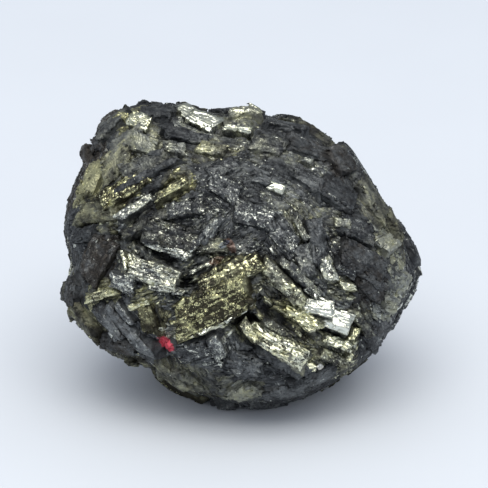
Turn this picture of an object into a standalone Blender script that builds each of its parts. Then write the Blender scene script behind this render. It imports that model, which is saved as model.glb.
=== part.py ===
"""A rough pyrite crystal: one knobbly nodule of intergrown slabs, blocks and ledges.

The broad face of the nodule is described in its own plane: across (to the right), up (along the
face) and out (away from the stone). That plane leans back from upright by FACE_LEAN, the way the
stone sits on its flat broken underside.
"""

import math
from collections import namedtuple

import bmesh
import bpy
import numpy as np
from mathutils import Matrix, Vector

MM = 0.001

# Driving dimensions, in millimetres and degrees
FACE_LEAN = 24.0
CENTRE_HEIGHT = 14.25
FRONT_DEPTH = 14.0
BACK_DEPTH = 15.0
ROUNDNESS = 2.15
MATRIX_INSET = 0.6
MATRIX_ROUGH = 0.3
MATRIX_STEPS = 3
SKIN_STEPS = 3
SKIN_AT_RIM = 0.25
SKIN_AT_FRONT = 2.0
SKIN_ROUGH = 0.12
SLAB_SINK = 2.6
LEDGE_SINK = 3.2
CUTTER_SIDE = 80.0

# Shares and angles that shape every block
CORNER_CHIP = 0.1
SLAB_SKEW = 0.45
SLAB_TAPER = (0.8, 0.96)
LEDGE_SKEW = 0.4
LEDGE_TAPER = (0.9, 1.0)

# The places of crystals are where they show from this distance, with the view aimed at this place
VIEW_DISTANCE = 300.0
AIM_ACROSS = 0.4
AIM_UP = 0.9

# How the slope of the nodule is measured
SLOPE_STEP = 0.06
SLOPE_HELPER = (0.31, 0.27, 0.91)
RIM_SHARE = 0.985
EDGE_ON = 0.25

# The rim of the broad face, clockwise from the left: (across, up)
RIM = (
    (-18.1, 2.2), (-17.8, 5.0), (-16.9, 7.6), (-15.4, 10.4), (-13.6, 13.3), (-11.6, 14.9),
    (-10.0, 15.4), (-7.0, 15.4), (-4.0, 14.7), (-1.5, 14.3), (0.8, 14.9), (2.2, 13.9),
    (6.0, 13.4), (9.0, 11.5), (10.7, 11.2), (12.5, 8.7), (14.9, 5.2), (16.6, 2.1),
    (17.8, -1.0), (18.1, -2.6), (16.4, -5.8), (15.1, -8.5), (13.1, -10.9), (10.4, -12.9),
    (8.1, -14.3), (5.4, -15.4), (2.2, -15.6), (-2.0, -15.3), (-4.7, -14.4), (-7.4, -13.5),
    (-9.2, -11.4), (-12.9, -10.8), (-14.7, -9.3), (-16.9, -6.6), (-18.0, -4.0), (-17.2, -1.4),
)

# A slab lies nearly flat on the nodule. Its turn is its long axis in the face's plane, its rise is
# how far its top stands proud, and it tips away from the nodule's own slope.
Slab = namedtuple("Slab", "across up turn length width rise tip_right tip_up")
SLABS = (
    # Long bars that climb to the right over the upper left
    Slab(-11.4, 6.6, 28, 6.4, 1.9, 0.6, 4, 10),
    Slab(-9.6, 7.7, 28, 7.4, 0.8, 0.5, 4, 4),
    Slab(-10.4, 4.6, 31, 4.4, 0.95, 0.9, 0, 12),
    Slab(-6.8, 6.4, 30, 3.8, 0.85, 0.9, 0, 12),
    Slab(-9.2, 3.2, 27, 6.6, 1.0, 0.3, -4, 8),
    Slab(-5.6, 4.5, 8, 3.6, 1.6, 0.4, 0, 6),
    Slab(-6.8, 1.8, -15, 6.0, 2.6, 0.8, 6, 4),
    Slab(-3.7, 1.8, 50, 4.4, 0.7, 0.7, -8, 6),
    Slab(-2.7, 2.2, 52, 3.4, 0.6, 0.6, 10, 4),
    Slab(-2.8, 0.7, 4, 3.0, 1.5, 0.5, 0, -6),
    # Broad dull faces of the upper left shoulder
    Slab(-12.5, 9.0, 40, 3.8, 3.0, 0.5, 6, -4),
    Slab(-11.3, 11.3, 32, 3.4, 2.2, 0.45, 0, 4),
    Slab(-14.8, 7.6, 62, 4.6, 2.4, 0.55, 8, 0),
    Slab(-14.5, 4.2, 6, 5.0, 2.2, 0.5, 4, 4),
    Slab(-12.9, 13.0, 40, 4.0, 2.4, 0.5, 0, 0),
    Slab(-9.6, 10.9, -14, 3.4, 1.8, 0.6, 0, -8),
    Slab(-6.6, 10.6, -14, 2.2, 1.2, 0.5, 4, -4),
    Slab(-5.4, 11.8, -10, 4.4, 1.4, 0.5, 4, -8),
    Slab(-8.4, 14.2, 4, 4.4, 2.2, 0.5, 0, 2),
    Slab(-9.6, 8.8, 20, 5.0, 2.2, 0.4, 0, -6),
    Slab(-2.9, 10.6, -12, 2.8, 1.6, 0.5, 0, -4),
    # Left flank: a leaning block and its neighbours
    Slab(-14.2, -0.6, 60, 5.2, 3.6, 0.7, 8, 6),
    Slab(-15.8, 1.8, 12, 3.4, 1.6, 0.6, 4, 0),
    Slab(-11.7, -3.0, -22, 2.6, 1.7, 0.8, 6, -4),
    Slab(-11.4, -6.0, -50, 2.8, 0.9, 0.8, 4, 6),
    Slab(-13.0, -7.0, -55, 4.4, 1.5, 0.7, 6, 6),
    Slab(-11.0, -7.9, -50, 6.4, 1.2, 0.7, -6, 4),
    Slab(-9.3, -9.9, -48, 6.2, 1.3, 0.7, 6, 2),
    Slab(-12.2, -9.4, -12, 4.6, 2.0, 0.5, 0, -4),
    Slab(-15.7, -6.9, -50, 4.8, 2.2, 0.6, 0, 4),
    Slab(-17.0, -3.9, 80, 3.2, 2.0, 0.5, 0, 0),
    Slab(-9.3, -6.4, -76, 2.6, 1.5, 0.8, 4, 4),
    # The great rough lozenge in the middle and the slab behind it
    Slab(-2.8, -5.45, 26, 10.8, 4.9, 0.9, -2, -6),
    Slab(-1.4, -1.9, 24, 7.4, 2.0, 0.9, -6, 10),
    Slab(-4.6, -9.9, 10, 4.4, 2.4, 0.6, -4, -10),
    Slab(-2.2, -9.4, -66, 2.8, 1.5, 0.9, 12, -4),
    Slab(0.4, -11.0, -20, 3.6, 2.4, 0.6, -6, 6),
    Slab(1.0, -12.1, 6, 3.4, 2.0, 0.6, 6, -4),
    # Bars that fall to the right
    Slab(4.2, -3.0, -45, 5.8, 1.4, 1.0, -10, -4),
    Slab(5.9, -2.3, -43, 5.2, 0.9, 0.9, 8, 4),
    Slab(3.6, -7.5, -30, 2.4, 0.8, 0.4, 6, 10),
    Slab(6.5, -0.6, -75, 3.2, 1.8, 0.6, -10, 0),
    Slab(7.9, 0.9, -80, 4.4, 1.7, 0.5, 12, 0),
    Slab(8.7, -1.5, -68, 2.8, 1.6, 0.8, -8, 6),
    Slab(10.8, -1.6, -30, 2.6, 1.6, 0.6, 4, -4),
    Slab(12.3, -0.8, -30, 6.0, 3.4, 0.5, 4, 4),
    Slab(11.6, 2.6, -24, 4.2, 2.4, 0.4, -4, 6),
    Slab(14.7, 1.1, 35, 2.8, 2.0, 0.6, -8, 16),
    Slab(15.1, -5.1, -20, 2.2, 1.8, 0.6, -10, 14),
    Slab(13.3, -3.2, -40, 4.8, 2.2, 0.5, 6, 0),
    Slab(13.4, -8.6, -58, 4.4, 1.6, 0.5, 0, 6),
    Slab(12.2, -7.2, -54, 4.6, 0.9, 0.6, -12, 0),
    Slab(9.6, -10.6, -25, 4.6, 1.2, 0.6, 0, 10),
    # Underside of the face
    Slab(-7.0, -12.2, -46, 5.4, 1.8, 0.6, 0, 4),
    Slab(-5.0, -13.0, -40, 4.2, 1.8, 0.5, 6, 0),
    Slab(0.4, -13.9, 22, 3.0, 2.0, 0.6, 0, 4),
    Slab(7.6, -12.6, 24, 6.0, 2.2, 0.5, 0, 4),
    Slab(4.2, -14.0, 10, 5.0, 2.2, 0.5, 0, 0),
    Slab(4.6, -11.2, -34, 4.8, 2.0, 0.5, -6, -6),
    # Low, worn crystals of the upper right
    Slab(7.0, 10.6, -24, 5.2, 2.6, 0.4, 0, 0),
    Slab(3.0, 11.0, -12, 3.2, 2.0, 0.4, 6, -6),
    Slab(10.2, 9.4, -48, 3.4, 2.6, 0.5, 0, 0),
    Slab(6.8, 7.8, -30, 3.8, 2.0, 0.35, -6, 6),
    Slab(10.0, 6.0, -36, 4.6, 2.8, 0.35, 6, 0),
    Slab(13.4, 5.4, -58, 5.0, 2.6, 0.5, 0, 0),
    Slab(12.2, 7.4, -60, 3.8, 1.8, 0.4, -8, 0),
    Slab(15.6, 2.9, -64, 3.6, 1.8, 0.5, 6, 0),
    Slab(4.6, 12.8, -12, 4.6, 1.4, 0.5, 0, 0),
    # Fine mass in the middle
    Slab(-1.6, 6.6, -30, 3.4, 2.2, 0.35, -4, 0),
    Slab(1.6, 3.8, -18, 4.4, 2.4, 0.35, 6, 0),
    Slab(-1.8, 8.6, 22, 3.6, 1.8, 0.3, 0, -8),
    Slab(3.0, 7.4, -20, 3.2, 1.6, 0.3, 0, 8),
    Slab(4.6, 1.6, -56, 3.6, 2.2, 0.35, -6, 0),
    Slab(0.6, 0.6, 26, 2.6, 1.8, 0.3, 0, 6),
)

# A ledge is a block whose top lies between the nodule's slope and a tread, at the given share of the
# way to the tread. The tread leans right and up by its own angles, measured from the out direction,
# and is shared by ledges far apart.
Ledge = namedtuple("Ledge", "across up turn length width rise lean_right lean_up share")
LEDGES = (
    # Left: the bright lozenge, its two prisms and the small treads below
    Ledge(-8.9, -1.8, -18, 5.0, 2.0, 0.6, -12, 11, 0.35),
    Ledge(-11.3, -0.9, -76, 2.0, 0.5, 0.72, -20, 15, 0.35),
    Ledge(-10.6, -0.6, -70, 1.3, 0.4, 0.66, -20, 15, 0.35),
    Ledge(-7.3, -3.6, -8, 3.4, 0.6, 0.53, -8, 17, 0.35),
    Ledge(-13.8, -4.1, 18, 3.8, 0.9, 0.66, -22, 17, 0.35),
    Ledge(-10.0, -5.1, 20, 2.2, 0.6, 0.78, -16, 21, 0.35),
    Ledge(-7.2, 0.5, -20, 4.8, 0.9, 0.66, -4, 17, 0.35),
    # The bright lower edge of the great lozenge, and the edge of the slab behind it
    Ledge(-5.3, -8.1, 6, 2.6, 0.4, 0.7, 0, 17, 0.35),
    Ledge(-2.8, -7.3, 24, 3.4, 0.45, 0.75, 0, 17, 0.35),
    Ledge(0.1, -5.8, 31, 3.4, 0.4, 0.75, 0, 15, 0.35),
    Ledge(0.2, -2.3, 22, 4.0, 0.4, 0.78, 0, 17, 0.35),
    Ledge(-3.9, -1.4, 26, 2.6, 0.35, 0.6, 0, 17, 0.35),
    # Right: the lit blade, the white treads and the stairs
    Ledge(1.2, -7.7, -50, 2.8, 1.2, 0.75, 2, 15, 0.6),
    Ledge(3.9, -9.1, -33, 6.8, 2.1, 0.8, 2, 18, 0.6),
    Ledge(6.7, -6.6, -42, 3.2, 1.4, 0.66, 6, 16, 0.35),
    Ledge(5.7, -6.0, -20, 1.8, 0.9, 0.53, 6, 9, 0.35),
    Ledge(7.7, -5.2, -12, 4.2, 2.0, 0.4, 4, 20, 0.85),
    Ledge(9.6, -6.5, -24, 2.9, 2.2, 0.45, 4, 20, 0.85),
    Ledge(9.7, -8.8, -24, 3.2, 0.9, 0.66, 8, 15, 0.35),
    Ledge(11.3, -8.0, 60, 1.3, 0.8, 0.66, 10, 13, 0.35),
    Ledge(10.9, -10.2, 62, 1.1, 0.6, 0.6, 10, 11, 0.35),
    Ledge(10.3, -10.9, 20, 1.0, 0.6, 0.53, 10, 13, 0.35),
    Ledge(6.9, -11.2, -20, 1.6, 0.7, 0.53, 4, 13, 0.35),
    Ledge(10.7, -3.2, -6, 1.6, 0.8, 0.72, 8, 15, 0.6),
    Ledge(7.1, -3.6, -32, 1.6, 0.9, 0.66, 4, 13, 0.6),
    # Top
    Ledge(-5.3, 14.2, -30, 2.5, 1.8, 0.53, -4, 24, 0.6),
    Ledge(-3.5, 13.2, -24, 3.2, 1.8, 0.6, 2, 22, 0.6),
    Ledge(0.0, 12.3, -8, 2.6, 0.7, 0.6, 0, 23, 0.6),
    Ledge(0.4, 14.3, 4, 3.3, 1.3, 0.47, 0, 37, 0.35),
    Ledge(1.2, 14.5, -10, 0.9, 0.6, 0.6, 0, 29, 0.6),
    Ledge(-11.8, 13.6, -20, 1.7, 0.9, 0.53, -18, 19, 0.35),
    Ledge(-10.1, 13.2, -25, 2.7, 1.6, 0.6, -14, 23, 0.6),
    Ledge(3.6, 6.6, -22, 1.7, 0.9, 0.53, 4, 19, 0.6),
    Ledge(6.1, 2.4, -60, 2.4, 0.6, 0.47, 6, 15, 0.35),
    Ledge(6.8, 9.2, -10, 1.2, 0.6, 0.47, 10, 19, 0.35),
    Ledge(10.3, 3.0, -8, 1.7, 1.0, 0.4, 4, 9, 0.35),
)

# Hollows are cut before the crystals are set. A cutter reaches from above the surface to its depth.
HOLLOW_ABOVE = 1.0
Hollow = namedtuple("Hollow", "across up turn length width depth")
HOLLOWS = (
    Hollow(-9.0, 0.9, -30, 5.0, 1.7, 2.0),
    Hollow(3.4, -6.4, -38, 4.4, 1.3, 1.1),
    Hollow(0.9, -7.8, -48, 4.2, 2.4, 1.6),
    Hollow(-9.4, 3.0, 24, 6.0, 0.8, 1.2),
    Hollow(-12.0, 1.9, 18, 3.4, 0.9, 1.0),
    Hollow(-6.0, -3.4, 30, 2.6, 1.2, 1.6),
    Hollow(9.3, -8.1, -18, 2.8, 0.9, 1.4),
    Hollow(12.2, 0.9, -20, 3.0, 0.8, 1.0),
    Hollow(-13.6, -7.6, -50, 2.6, 1.0, 1.2),
    Hollow(-1.6, 12.4, -12, 7.0, 0.8, 1.0),
    Hollow(-9.0, 6.2, 30, 6.8, 0.45, 0.9),
)

# Families of parallel crystals that clothe the sides and the back. Each family has a growth, which
# scales its members, and a number of members from the first value up to one less than the second.
# Spread is half a member's usual width, stray is how far members turn from their family's axis as a
# tangent, and jitter moves a family's direction off the even spread.
FAMILY_COUNT = 34
FAMILY_MEMBERS = (3, 6)
FAMILY_GROWTH = (0.55, 1.5)
FAMILY_SEED = 7
FAMILY_LENGTH = (3.4, 7.0)
FAMILY_WIDTH = (1.1, 2.6)
FAMILY_RISE = (0.5, 1.3)
RISE_AT_RIM = 0.45
FAMILY_TIP = 14.0
FAMILY_SHIFT = 1.6
FAMILY_SKEW = 0.75
FAMILY_TAPER = (0.74, 0.97)
FAMILY_SPREAD = 0.85
FAMILY_STRAY = 0.18
FAMILY_JITTER = 0.08
FRONT_LIMIT = 0.12


def face_axes():
    """The across, up and out directions of the broad face as rows of a matrix."""
    lean = math.radians(FACE_LEAN)
    return np.array([
        (1.0, 0.0, 0.0),
        (0.0, math.sin(lean), math.cos(lean)),
        (0.0, -math.cos(lean), math.sin(lean)),
    ])


AXES = face_axes()
CENTRE = np.array((0.0, 0.0, CENTRE_HEIGHT))


def rim_radius(angle):
    """Distance from the face's centre to its rim in the direction of angle, in radians."""
    rim = np.array(RIM)
    angles = np.arctan2(rim[:, 1], rim[:, 0])
    order = np.argsort(angles)
    return np.interp(angle, angles[order], np.hypot(*rim.T)[order], period=2 * math.pi)


def nodule_radius(directions):
    """Radius of the nodule along unit directions given as (across, up, out)."""
    across, up, out = directions.T
    side = np.hypot(across, up)
    rim = rim_radius(np.arctan2(up, across))
    depth = np.where(out > 0, FRONT_DEPTH, BACK_DEPTH)
    return ((side / rim) ** ROUNDNESS + (np.abs(out) / depth) ** ROUNDNESS) ** (-1 / ROUNDNESS)


def surface_at(direction):
    """Point and outward normal of the nodule along one direction, as (across, up, out)."""
    direction = np.array(direction) / np.linalg.norm(direction)
    side = np.cross(direction, SLOPE_HELPER)
    side /= np.linalg.norm(side)
    other = np.cross(direction, side)
    around = np.array([direction, direction + SLOPE_STEP * side, direction - SLOPE_STEP * side,
                       direction + SLOPE_STEP * other, direction - SLOPE_STEP * other])
    around /= np.linalg.norm(around, axis=1)[:, None]
    points = around * nodule_radius(around)[:, None]
    normal = np.cross(points[1] - points[2], points[3] - points[4])
    normal /= np.linalg.norm(normal)
    return points[0], normal * np.sign(normal @ direction)


def front_over(across, up):
    """How far out the front of the nodule lies over a place on the broad face."""
    share = math.hypot(across, up) / float(rim_radius(math.atan2(up, across)))
    share = min(share, RIM_SHARE)
    return FRONT_DEPTH * (1 - share ** ROUNDNESS) ** (1 / ROUNDNESS)


def direction_over(across, up):
    """The direction to the place that shows at across and up in the view. A nearer place shows
    larger, so it is drawn in towards the aim by its share of the distance."""
    nearer = 1 - front_over(across, up) / VIEW_DISTANCE
    across = AIM_ACROSS + (across - AIM_ACROSS) * nearer
    up = AIM_UP + (up - AIM_UP) * nearer
    return across, up, front_over(across, up)


def tipped(normal, tip_right, tip_up):
    """A normal tipped to the right and up by angles in degrees, measured on the nodule's own slope."""
    right = np.cross((0.0, 1.0, 0.0), normal)
    right /= np.linalg.norm(right)
    rise = np.cross(normal, right)
    new = normal + math.tan(math.radians(tip_right)) * right + math.tan(math.radians(tip_up)) * rise
    return new / np.linalg.norm(new)


def leaned(lean_right, lean_up):
    """A normal that leans right and up from the out direction by angles in degrees."""
    normal = np.array((math.tan(math.radians(lean_right)), math.tan(math.radians(lean_up)), 1.0))
    return normal / np.linalg.norm(normal)


def long_axis(normal, turn):
    """The direction in the plane of normal that shows at angle turn, in degrees, seen along out."""
    shown = np.array((math.cos(math.radians(turn)), math.sin(math.radians(turn)), 0.0))
    depth = -(shown @ normal) / max(normal[2], EDGE_ON)
    axis = shown + depth * np.array((0.0, 0.0, 1.0))
    axis -= (axis @ normal) * normal
    return axis / np.linalg.norm(axis)


def block_matrix(point, normal, axis):
    """Places a block whose local X is axis, local Z is normal and whose top centre is point."""
    frame = np.array([axis, np.cross(normal, axis), normal]) @ AXES
    place = CENTRE + point @ AXES
    matrix = Matrix([[*column] for column in frame.T]).to_4x4()
    matrix.translation = Vector(place * MM)
    return matrix


def clear_scene():
    for old in list(bpy.data.objects):
        bpy.data.objects.remove(old)


def new_collection(name):
    collection = bpy.data.collections.new(name)
    bpy.context.scene.collection.children.link(collection)
    return collection


def helper_object(name, bm, collection):
    """A hidden cutter or crystal made from bm."""
    mesh = bpy.data.meshes.new(name)
    bm.to_mesh(mesh)
    bm.free()
    helper = bpy.data.objects.new(name, mesh)
    collection.objects.link(helper)
    helper.hide_render = True
    helper.display_type = "WIRE"
    return helper


def add_block(name, matrix, size, collection, skew=0.0, taper=1.0, chips=None):
    """A cube of size (length, width, depth) below its top face. Its four corners are moved by chips
    and skewed to a lozenge, and the top is the same outline drawn in by taper, so each side is flat."""
    length, width, depth = size
    bm = bmesh.new()
    bmesh.ops.create_cube(bm, size=1.0)
    for vertex in bm.verts:
        corner = 2 * int(vertex.co.x > 0) + int(vertex.co.y > 0)
        chip = (0.0, 0.0) if chips is None else chips[corner]
        x = (vertex.co.x + CORNER_CHIP * chip[0]) * length
        y = (vertex.co.y + CORNER_CHIP * chip[1]) * width
        narrow = taper if vertex.co.z > 0 else 1.0
        place = ((x + skew * y) * narrow, y * narrow, (vertex.co.z - 0.5) * depth)
        vertex.co = Vector(place) * MM
    bm.transform(matrix)
    return helper_object(name, bm, collection)


def add_crystal(name, matrix, size, collection, rng, most_skew, tapers):
    """A block with a skew, a taper and corner chips of its own."""
    skew = rng.uniform(-most_skew, most_skew)
    taper = rng.uniform(*tapers)
    chips = rng.uniform(-1, 1, (4, 2))
    return add_block(name, matrix, size, collection, skew, taper, chips)


def add_slabs(collection, rng):
    """The slabs of the broad face, each with a small skew and taper of its own."""
    for number, slab in enumerate(SLABS):
        point, slope = surface_at(direction_over(slab.across, slab.up))
        normal = tipped(slope, slab.tip_right, slab.tip_up)
        axis = long_axis(normal, slab.turn)
        top = point + slope * (slab.rise - MATRIX_INSET * 0.5)
        size = (slab.length, slab.width, slab.rise + SLAB_SINK)
        matrix = block_matrix(top, normal, axis)
        add_crystal(f"slab_{number:02d}", matrix, size, collection, rng, SLAB_SKEW, SLAB_TAPER)


def add_ledges(collection, rng):
    """The ledges, deeper blocks whose treads catch the light together."""
    for number, ledge in enumerate(LEDGES):
        point, slope = surface_at(direction_over(ledge.across, ledge.up))
        normal = slope + ledge.share * (leaned(ledge.lean_right, ledge.lean_up) - slope)
        normal /= np.linalg.norm(normal)
        axis = long_axis(normal, ledge.turn)
        top = point + slope * (ledge.rise - MATRIX_INSET * 0.5)
        size = (ledge.length, ledge.width, ledge.rise + LEDGE_SINK)
        matrix = block_matrix(top, normal, axis)
        add_crystal(f"ledge_{number:02d}", matrix, size, collection, rng, LEDGE_SKEW, LEDGE_TAPER)


def family_directions():
    """Directions spread evenly over the sphere, kept where the broad face's own crystals end."""
    numbers = np.arange(FAMILY_COUNT * 2) + 0.5
    out = 1 - numbers / FAMILY_COUNT
    turn = numbers * math.pi * (3 - math.sqrt(5))
    side = np.sqrt(1 - out ** 2)
    directions = np.stack([side * np.cos(turn), side * np.sin(turn), out], axis=1)
    return directions[out < FRONT_LIMIT]


def add_families(collection, rng):
    """Bundles of parallel crystals over the sides and back, side by side at stepped heights."""
    for number, centre in enumerate(family_directions()):
        middle, slope = surface_at(centre + rng.normal(0, FAMILY_JITTER, 3))
        any_way = rng.normal(size=3)
        axis = any_way - (any_way @ slope) * slope
        axis /= np.linalg.norm(axis)
        across = np.cross(slope, axis)
        growth = rng.uniform(*FAMILY_GROWTH)
        members = int(rng.integers(*FAMILY_MEMBERS))
        offset = -members * FAMILY_SPREAD * growth
        for member in range(members):
            length = growth * rng.uniform(*FAMILY_LENGTH)
            width = growth * rng.uniform(*FAMILY_WIDTH)
            shift = rng.uniform(-FAMILY_SHIFT, FAMILY_SHIFT)
            point, own_slope = surface_at(middle + axis * shift + across * (offset + width * 0.5))
            tip_right, tip_up = rng.uniform(-FAMILY_TIP, FAMILY_TIP, 2)
            normal = tipped(own_slope, tip_right, tip_up)
            way = axis + rng.uniform(-FAMILY_STRAY, FAMILY_STRAY) * across
            along = way - (way @ normal) * normal
            along /= np.linalg.norm(along)
            facing = abs(point[2]) / np.linalg.norm(point)
            rise = rng.uniform(*FAMILY_RISE) * min(1, RISE_AT_RIM + facing)
            matrix = block_matrix(point + own_slope * (rise - MATRIX_INSET), normal, along)
            size = (length, width, rise + SLAB_SINK)
            name = f"family_{number:02d}_{member}"
            add_crystal(name, matrix, size, collection, rng, FAMILY_SKEW, FAMILY_TAPER)
            offset += width


def add_hollows(collection):
    """Cutters for the dark clefts between the crystals."""
    for number, hollow in enumerate(HOLLOWS):
        point, slope = surface_at(direction_over(hollow.across, hollow.up))
        axis = long_axis(slope, hollow.turn)
        matrix = block_matrix(point + slope * HOLLOW_ABOVE, slope, axis)
        size = (hollow.length, hollow.width, hollow.depth + HOLLOW_ABOVE)
        add_block(f"hollow_{number:02d}", matrix, size, collection)


def add_ground(collection):
    """The plane of the flat broken underside, as the top of a large cutter."""
    bm = bmesh.new()
    bmesh.ops.create_cube(bm, size=CUTTER_SIDE * MM)
    bmesh.ops.translate(bm, verts=bm.verts, vec=(0, 0, -CUTTER_SIDE * MM / 2))
    return helper_object("ground_cut", bm, collection)


def rounded_body(steps, rise_at_rim, rise_at_front, rough, rng):
    """An icosphere drawn out to the nodule's own radius plus a rise, with each corner moved a little
    so that the faces between the corners meet like broken facets."""
    bm = bmesh.new()
    bmesh.ops.create_icosphere(bm, subdivisions=steps, radius=1.0)
    directions = np.array([vertex.co.normalized() for vertex in bm.verts])
    facing = np.maximum(directions[:, 2], 0.0) ** 2
    rises = rise_at_rim + (rise_at_front - rise_at_rim) * facing
    radii = nodule_radius(directions) + rises
    places = directions * radii[:, None] + rng.uniform(-rough, rough, directions.shape)
    for vertex, place in zip(bm.verts, places @ AXES + CENTRE):
        vertex.co = Vector(place * MM)
    return bm


def nodule_mesh(rng):
    """The matrix that holds the crystals."""
    bm = rounded_body(MATRIX_STEPS, -MATRIX_INSET, -MATRIX_INSET, MATRIX_ROUGH, rng)
    mesh = bpy.data.meshes.new("pyrite_matrix")
    bm.to_mesh(mesh)
    bm.free()
    return mesh


def pyrite_material():
    material = bpy.data.materials.new("pyrite")
    material.use_nodes = True
    shader = material.node_tree.nodes["Principled BSDF"]
    shader.inputs["Base Color"].default_value = (0.20, 0.19, 0.14, 1.0)
    shader.inputs["Metallic"].default_value = 0.85
    shader.inputs["Roughness"].default_value = 0.45
    return material


def add_boolean(target, name, operation, collection):
    modifier = target.modifiers.new(name, "BOOLEAN")
    modifier.operation = operation
    modifier.operand_type = "COLLECTION"
    modifier.collection = collection
    modifier.solver = "EXACT"
    return modifier


def largest_shell(mesh):
    """Keeps the outer skin of mesh and drops any closed pocket left between crystals, also one that
    touches the skin along an edge."""
    bm = bmesh.new()
    bm.from_mesh(mesh)
    left = set(bm.faces)
    shells = []
    while left:
        front = [left.pop()]
        shell = list(front)
        while front:
            face = front.pop()
            for edge in face.edges:
                if len(edge.link_faces) > 2:
                    continue
                for beside in edge.link_faces:
                    if beside in left:
                        left.remove(beside)
                        front.append(beside)
                        shell.append(beside)
        shells.append(shell)
    shells.sort(key=len)
    for shell in shells[:-1]:
        bmesh.ops.delete(bm, geom=shell, context="FACES")
    bmesh.ops.triangulate(bm, faces=bm.faces)
    bm.to_mesh(mesh)
    bm.free()
    return len(shells)


def build():
    clear_scene()
    part = new_collection("pyrite_crystal_part")
    crystals = new_collection("crystals")
    hollows = new_collection("hollows")
    skin = new_collection("skin")
    ground = new_collection("ground")
    rng = np.random.default_rng(FAMILY_SEED)
    add_slabs(crystals, rng)
    add_ledges(crystals, rng)
    add_families(crystals, rng)
    add_hollows(hollows)
    add_ground(ground)

    nodule = bpy.data.objects.new("nodule", nodule_mesh(rng))
    part.objects.link(nodule)
    # The skin trims whatever stands out beyond the worn outline of the stone
    worn = rounded_body(SKIN_STEPS, SKIN_AT_RIM, SKIN_AT_FRONT, SKIN_ROUGH, rng)
    helper_object("worn_skin", worn, skin)
    add_boolean(nodule, "clefts", "DIFFERENCE", hollows)
    add_boolean(nodule, "crystals", "UNION", crystals)
    add_boolean(nodule, "worn_skin", "INTERSECT", skin)
    add_boolean(nodule, "underside", "DIFFERENCE", ground)

    bpy.context.view_layer.update()
    evaluated = nodule.evaluated_get(bpy.context.evaluated_depsgraph_get())
    mesh = bpy.data.meshes.new_from_object(evaluated)
    mesh.name = "pyrite_crystal"
    shells = largest_shell(mesh)
    bpy.data.objects.remove(nodule)
    crystal = bpy.data.objects.new("pyrite_crystal", mesh)
    part.objects.link(crystal)
    crystal.data.materials.clear()
    crystal.data.materials.append(pyrite_material())
    print("pyrite_crystal:", len(mesh.polygons), "triangles,", shells, "shells before cleaning")


build()
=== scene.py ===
# %% [markdown]
# # A rough pyrite crystal
#
# Pyrite is iron sulphide. It grows as cubes, slabs and blocks that crowd into each other, and a
# nodule dug from the ground is a heap of them with a dark tarnish on most faces and bare, brassy
# metal where a face has been kept clean or freshly broken. This notebook dresses one such nodule.
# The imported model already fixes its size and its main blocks. Everything here follows the same
# named values, so the fine surface lies where the solid is.

import itertools
import math
from collections import namedtuple

import bpy
import numpy as np
from mathutils import Matrix, Vector


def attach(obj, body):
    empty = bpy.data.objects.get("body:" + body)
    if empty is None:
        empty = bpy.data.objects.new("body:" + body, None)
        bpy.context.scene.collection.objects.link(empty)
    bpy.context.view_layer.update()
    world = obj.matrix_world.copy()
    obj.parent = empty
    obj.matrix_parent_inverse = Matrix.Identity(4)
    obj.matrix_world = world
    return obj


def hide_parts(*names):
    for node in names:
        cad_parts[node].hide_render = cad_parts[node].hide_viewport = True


MM = 0.001


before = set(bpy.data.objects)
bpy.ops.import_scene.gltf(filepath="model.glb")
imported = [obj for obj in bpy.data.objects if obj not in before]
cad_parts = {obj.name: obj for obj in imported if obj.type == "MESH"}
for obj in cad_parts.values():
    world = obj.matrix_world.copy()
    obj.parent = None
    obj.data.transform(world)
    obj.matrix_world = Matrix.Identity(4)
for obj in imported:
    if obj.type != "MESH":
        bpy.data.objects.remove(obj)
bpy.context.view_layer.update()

# %% [markdown]
# ## The stone's own directions
#
# The broad face leans back from upright, because the stone rests on a flat broken patch below its
# middle. Shapes could be placed in the room's directions, but then every one of them would need
# the lean worked in. They are easier to place in that face's own directions: across, up along the
# face, and out of the stone. All working sizes are in millimetres and turn into metres only when a
# mesh is made.

# %% Axes of the broad face
FACE_LEAN = 24.0
CENTRE_HEIGHT = 14.25


def face_axes():
    """Rows across, up and out: the X axis, and the upright plane's two axes turned back by the lean."""
    lean = math.radians(FACE_LEAN)
    return np.array([
        (1.0, 0.0, 0.0),
        (0.0, math.sin(lean), math.cos(lean)),
        (0.0, -math.cos(lean), math.sin(lean)),
    ])


AXES = face_axes()
CENTRE = np.array((0.0, 0.0, CENTRE_HEIGHT))
OUT = np.array((0.0, 0.0, 1.0))


def unit(vectors):
    """Each vector divided by its own length."""
    return vectors / np.linalg.norm(vectors, axis=-1, keepdims=True)


print("out direction in the room:", AXES[2].round(3))

# %% [markdown]
# ## The nodule under the crystals
#
# The body of the stone is a rounded lump whose outline, seen square on, is the rim read from the
# photograph. It could be sculpted, but then a crystal could be set on it only by measuring the
# mesh. A superellipsoid formula closes the rim to the front and the back instead: the share of the
# way to the rim and the share of the way to the front, each raised to a power a little over two,
# add up to one. One formula gives every point and every slope.

# %% The rim and the nodule's radius
FRONT_DEPTH = 14.0
BACK_DEPTH = 15.0
ROUNDNESS = 2.15

# The rim of the broad face, clockwise from the left: (across, up)
RIM = (
    (-18.1, 2.2), (-17.8, 5.0), (-16.9, 7.6), (-15.4, 10.4), (-13.6, 13.3), (-11.6, 14.9),
    (-10.0, 15.4), (-7.0, 15.4), (-4.0, 14.7), (-1.5, 14.3), (0.8, 14.9), (2.2, 13.9),
    (6.0, 13.4), (9.0, 11.5), (10.7, 11.2), (12.5, 8.7), (14.9, 5.2), (16.6, 2.1),
    (17.8, -1.0), (18.1, -2.6), (16.4, -5.8), (15.1, -8.5), (13.1, -10.9), (10.4, -12.9),
    (8.1, -14.3), (5.4, -15.4), (2.2, -15.6), (-2.0, -15.3), (-4.7, -14.4), (-7.4, -13.5),
    (-9.2, -11.4), (-12.9, -10.8), (-14.7, -9.3), (-16.9, -6.6), (-18.0, -4.0), (-17.2, -1.4),
)


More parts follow.
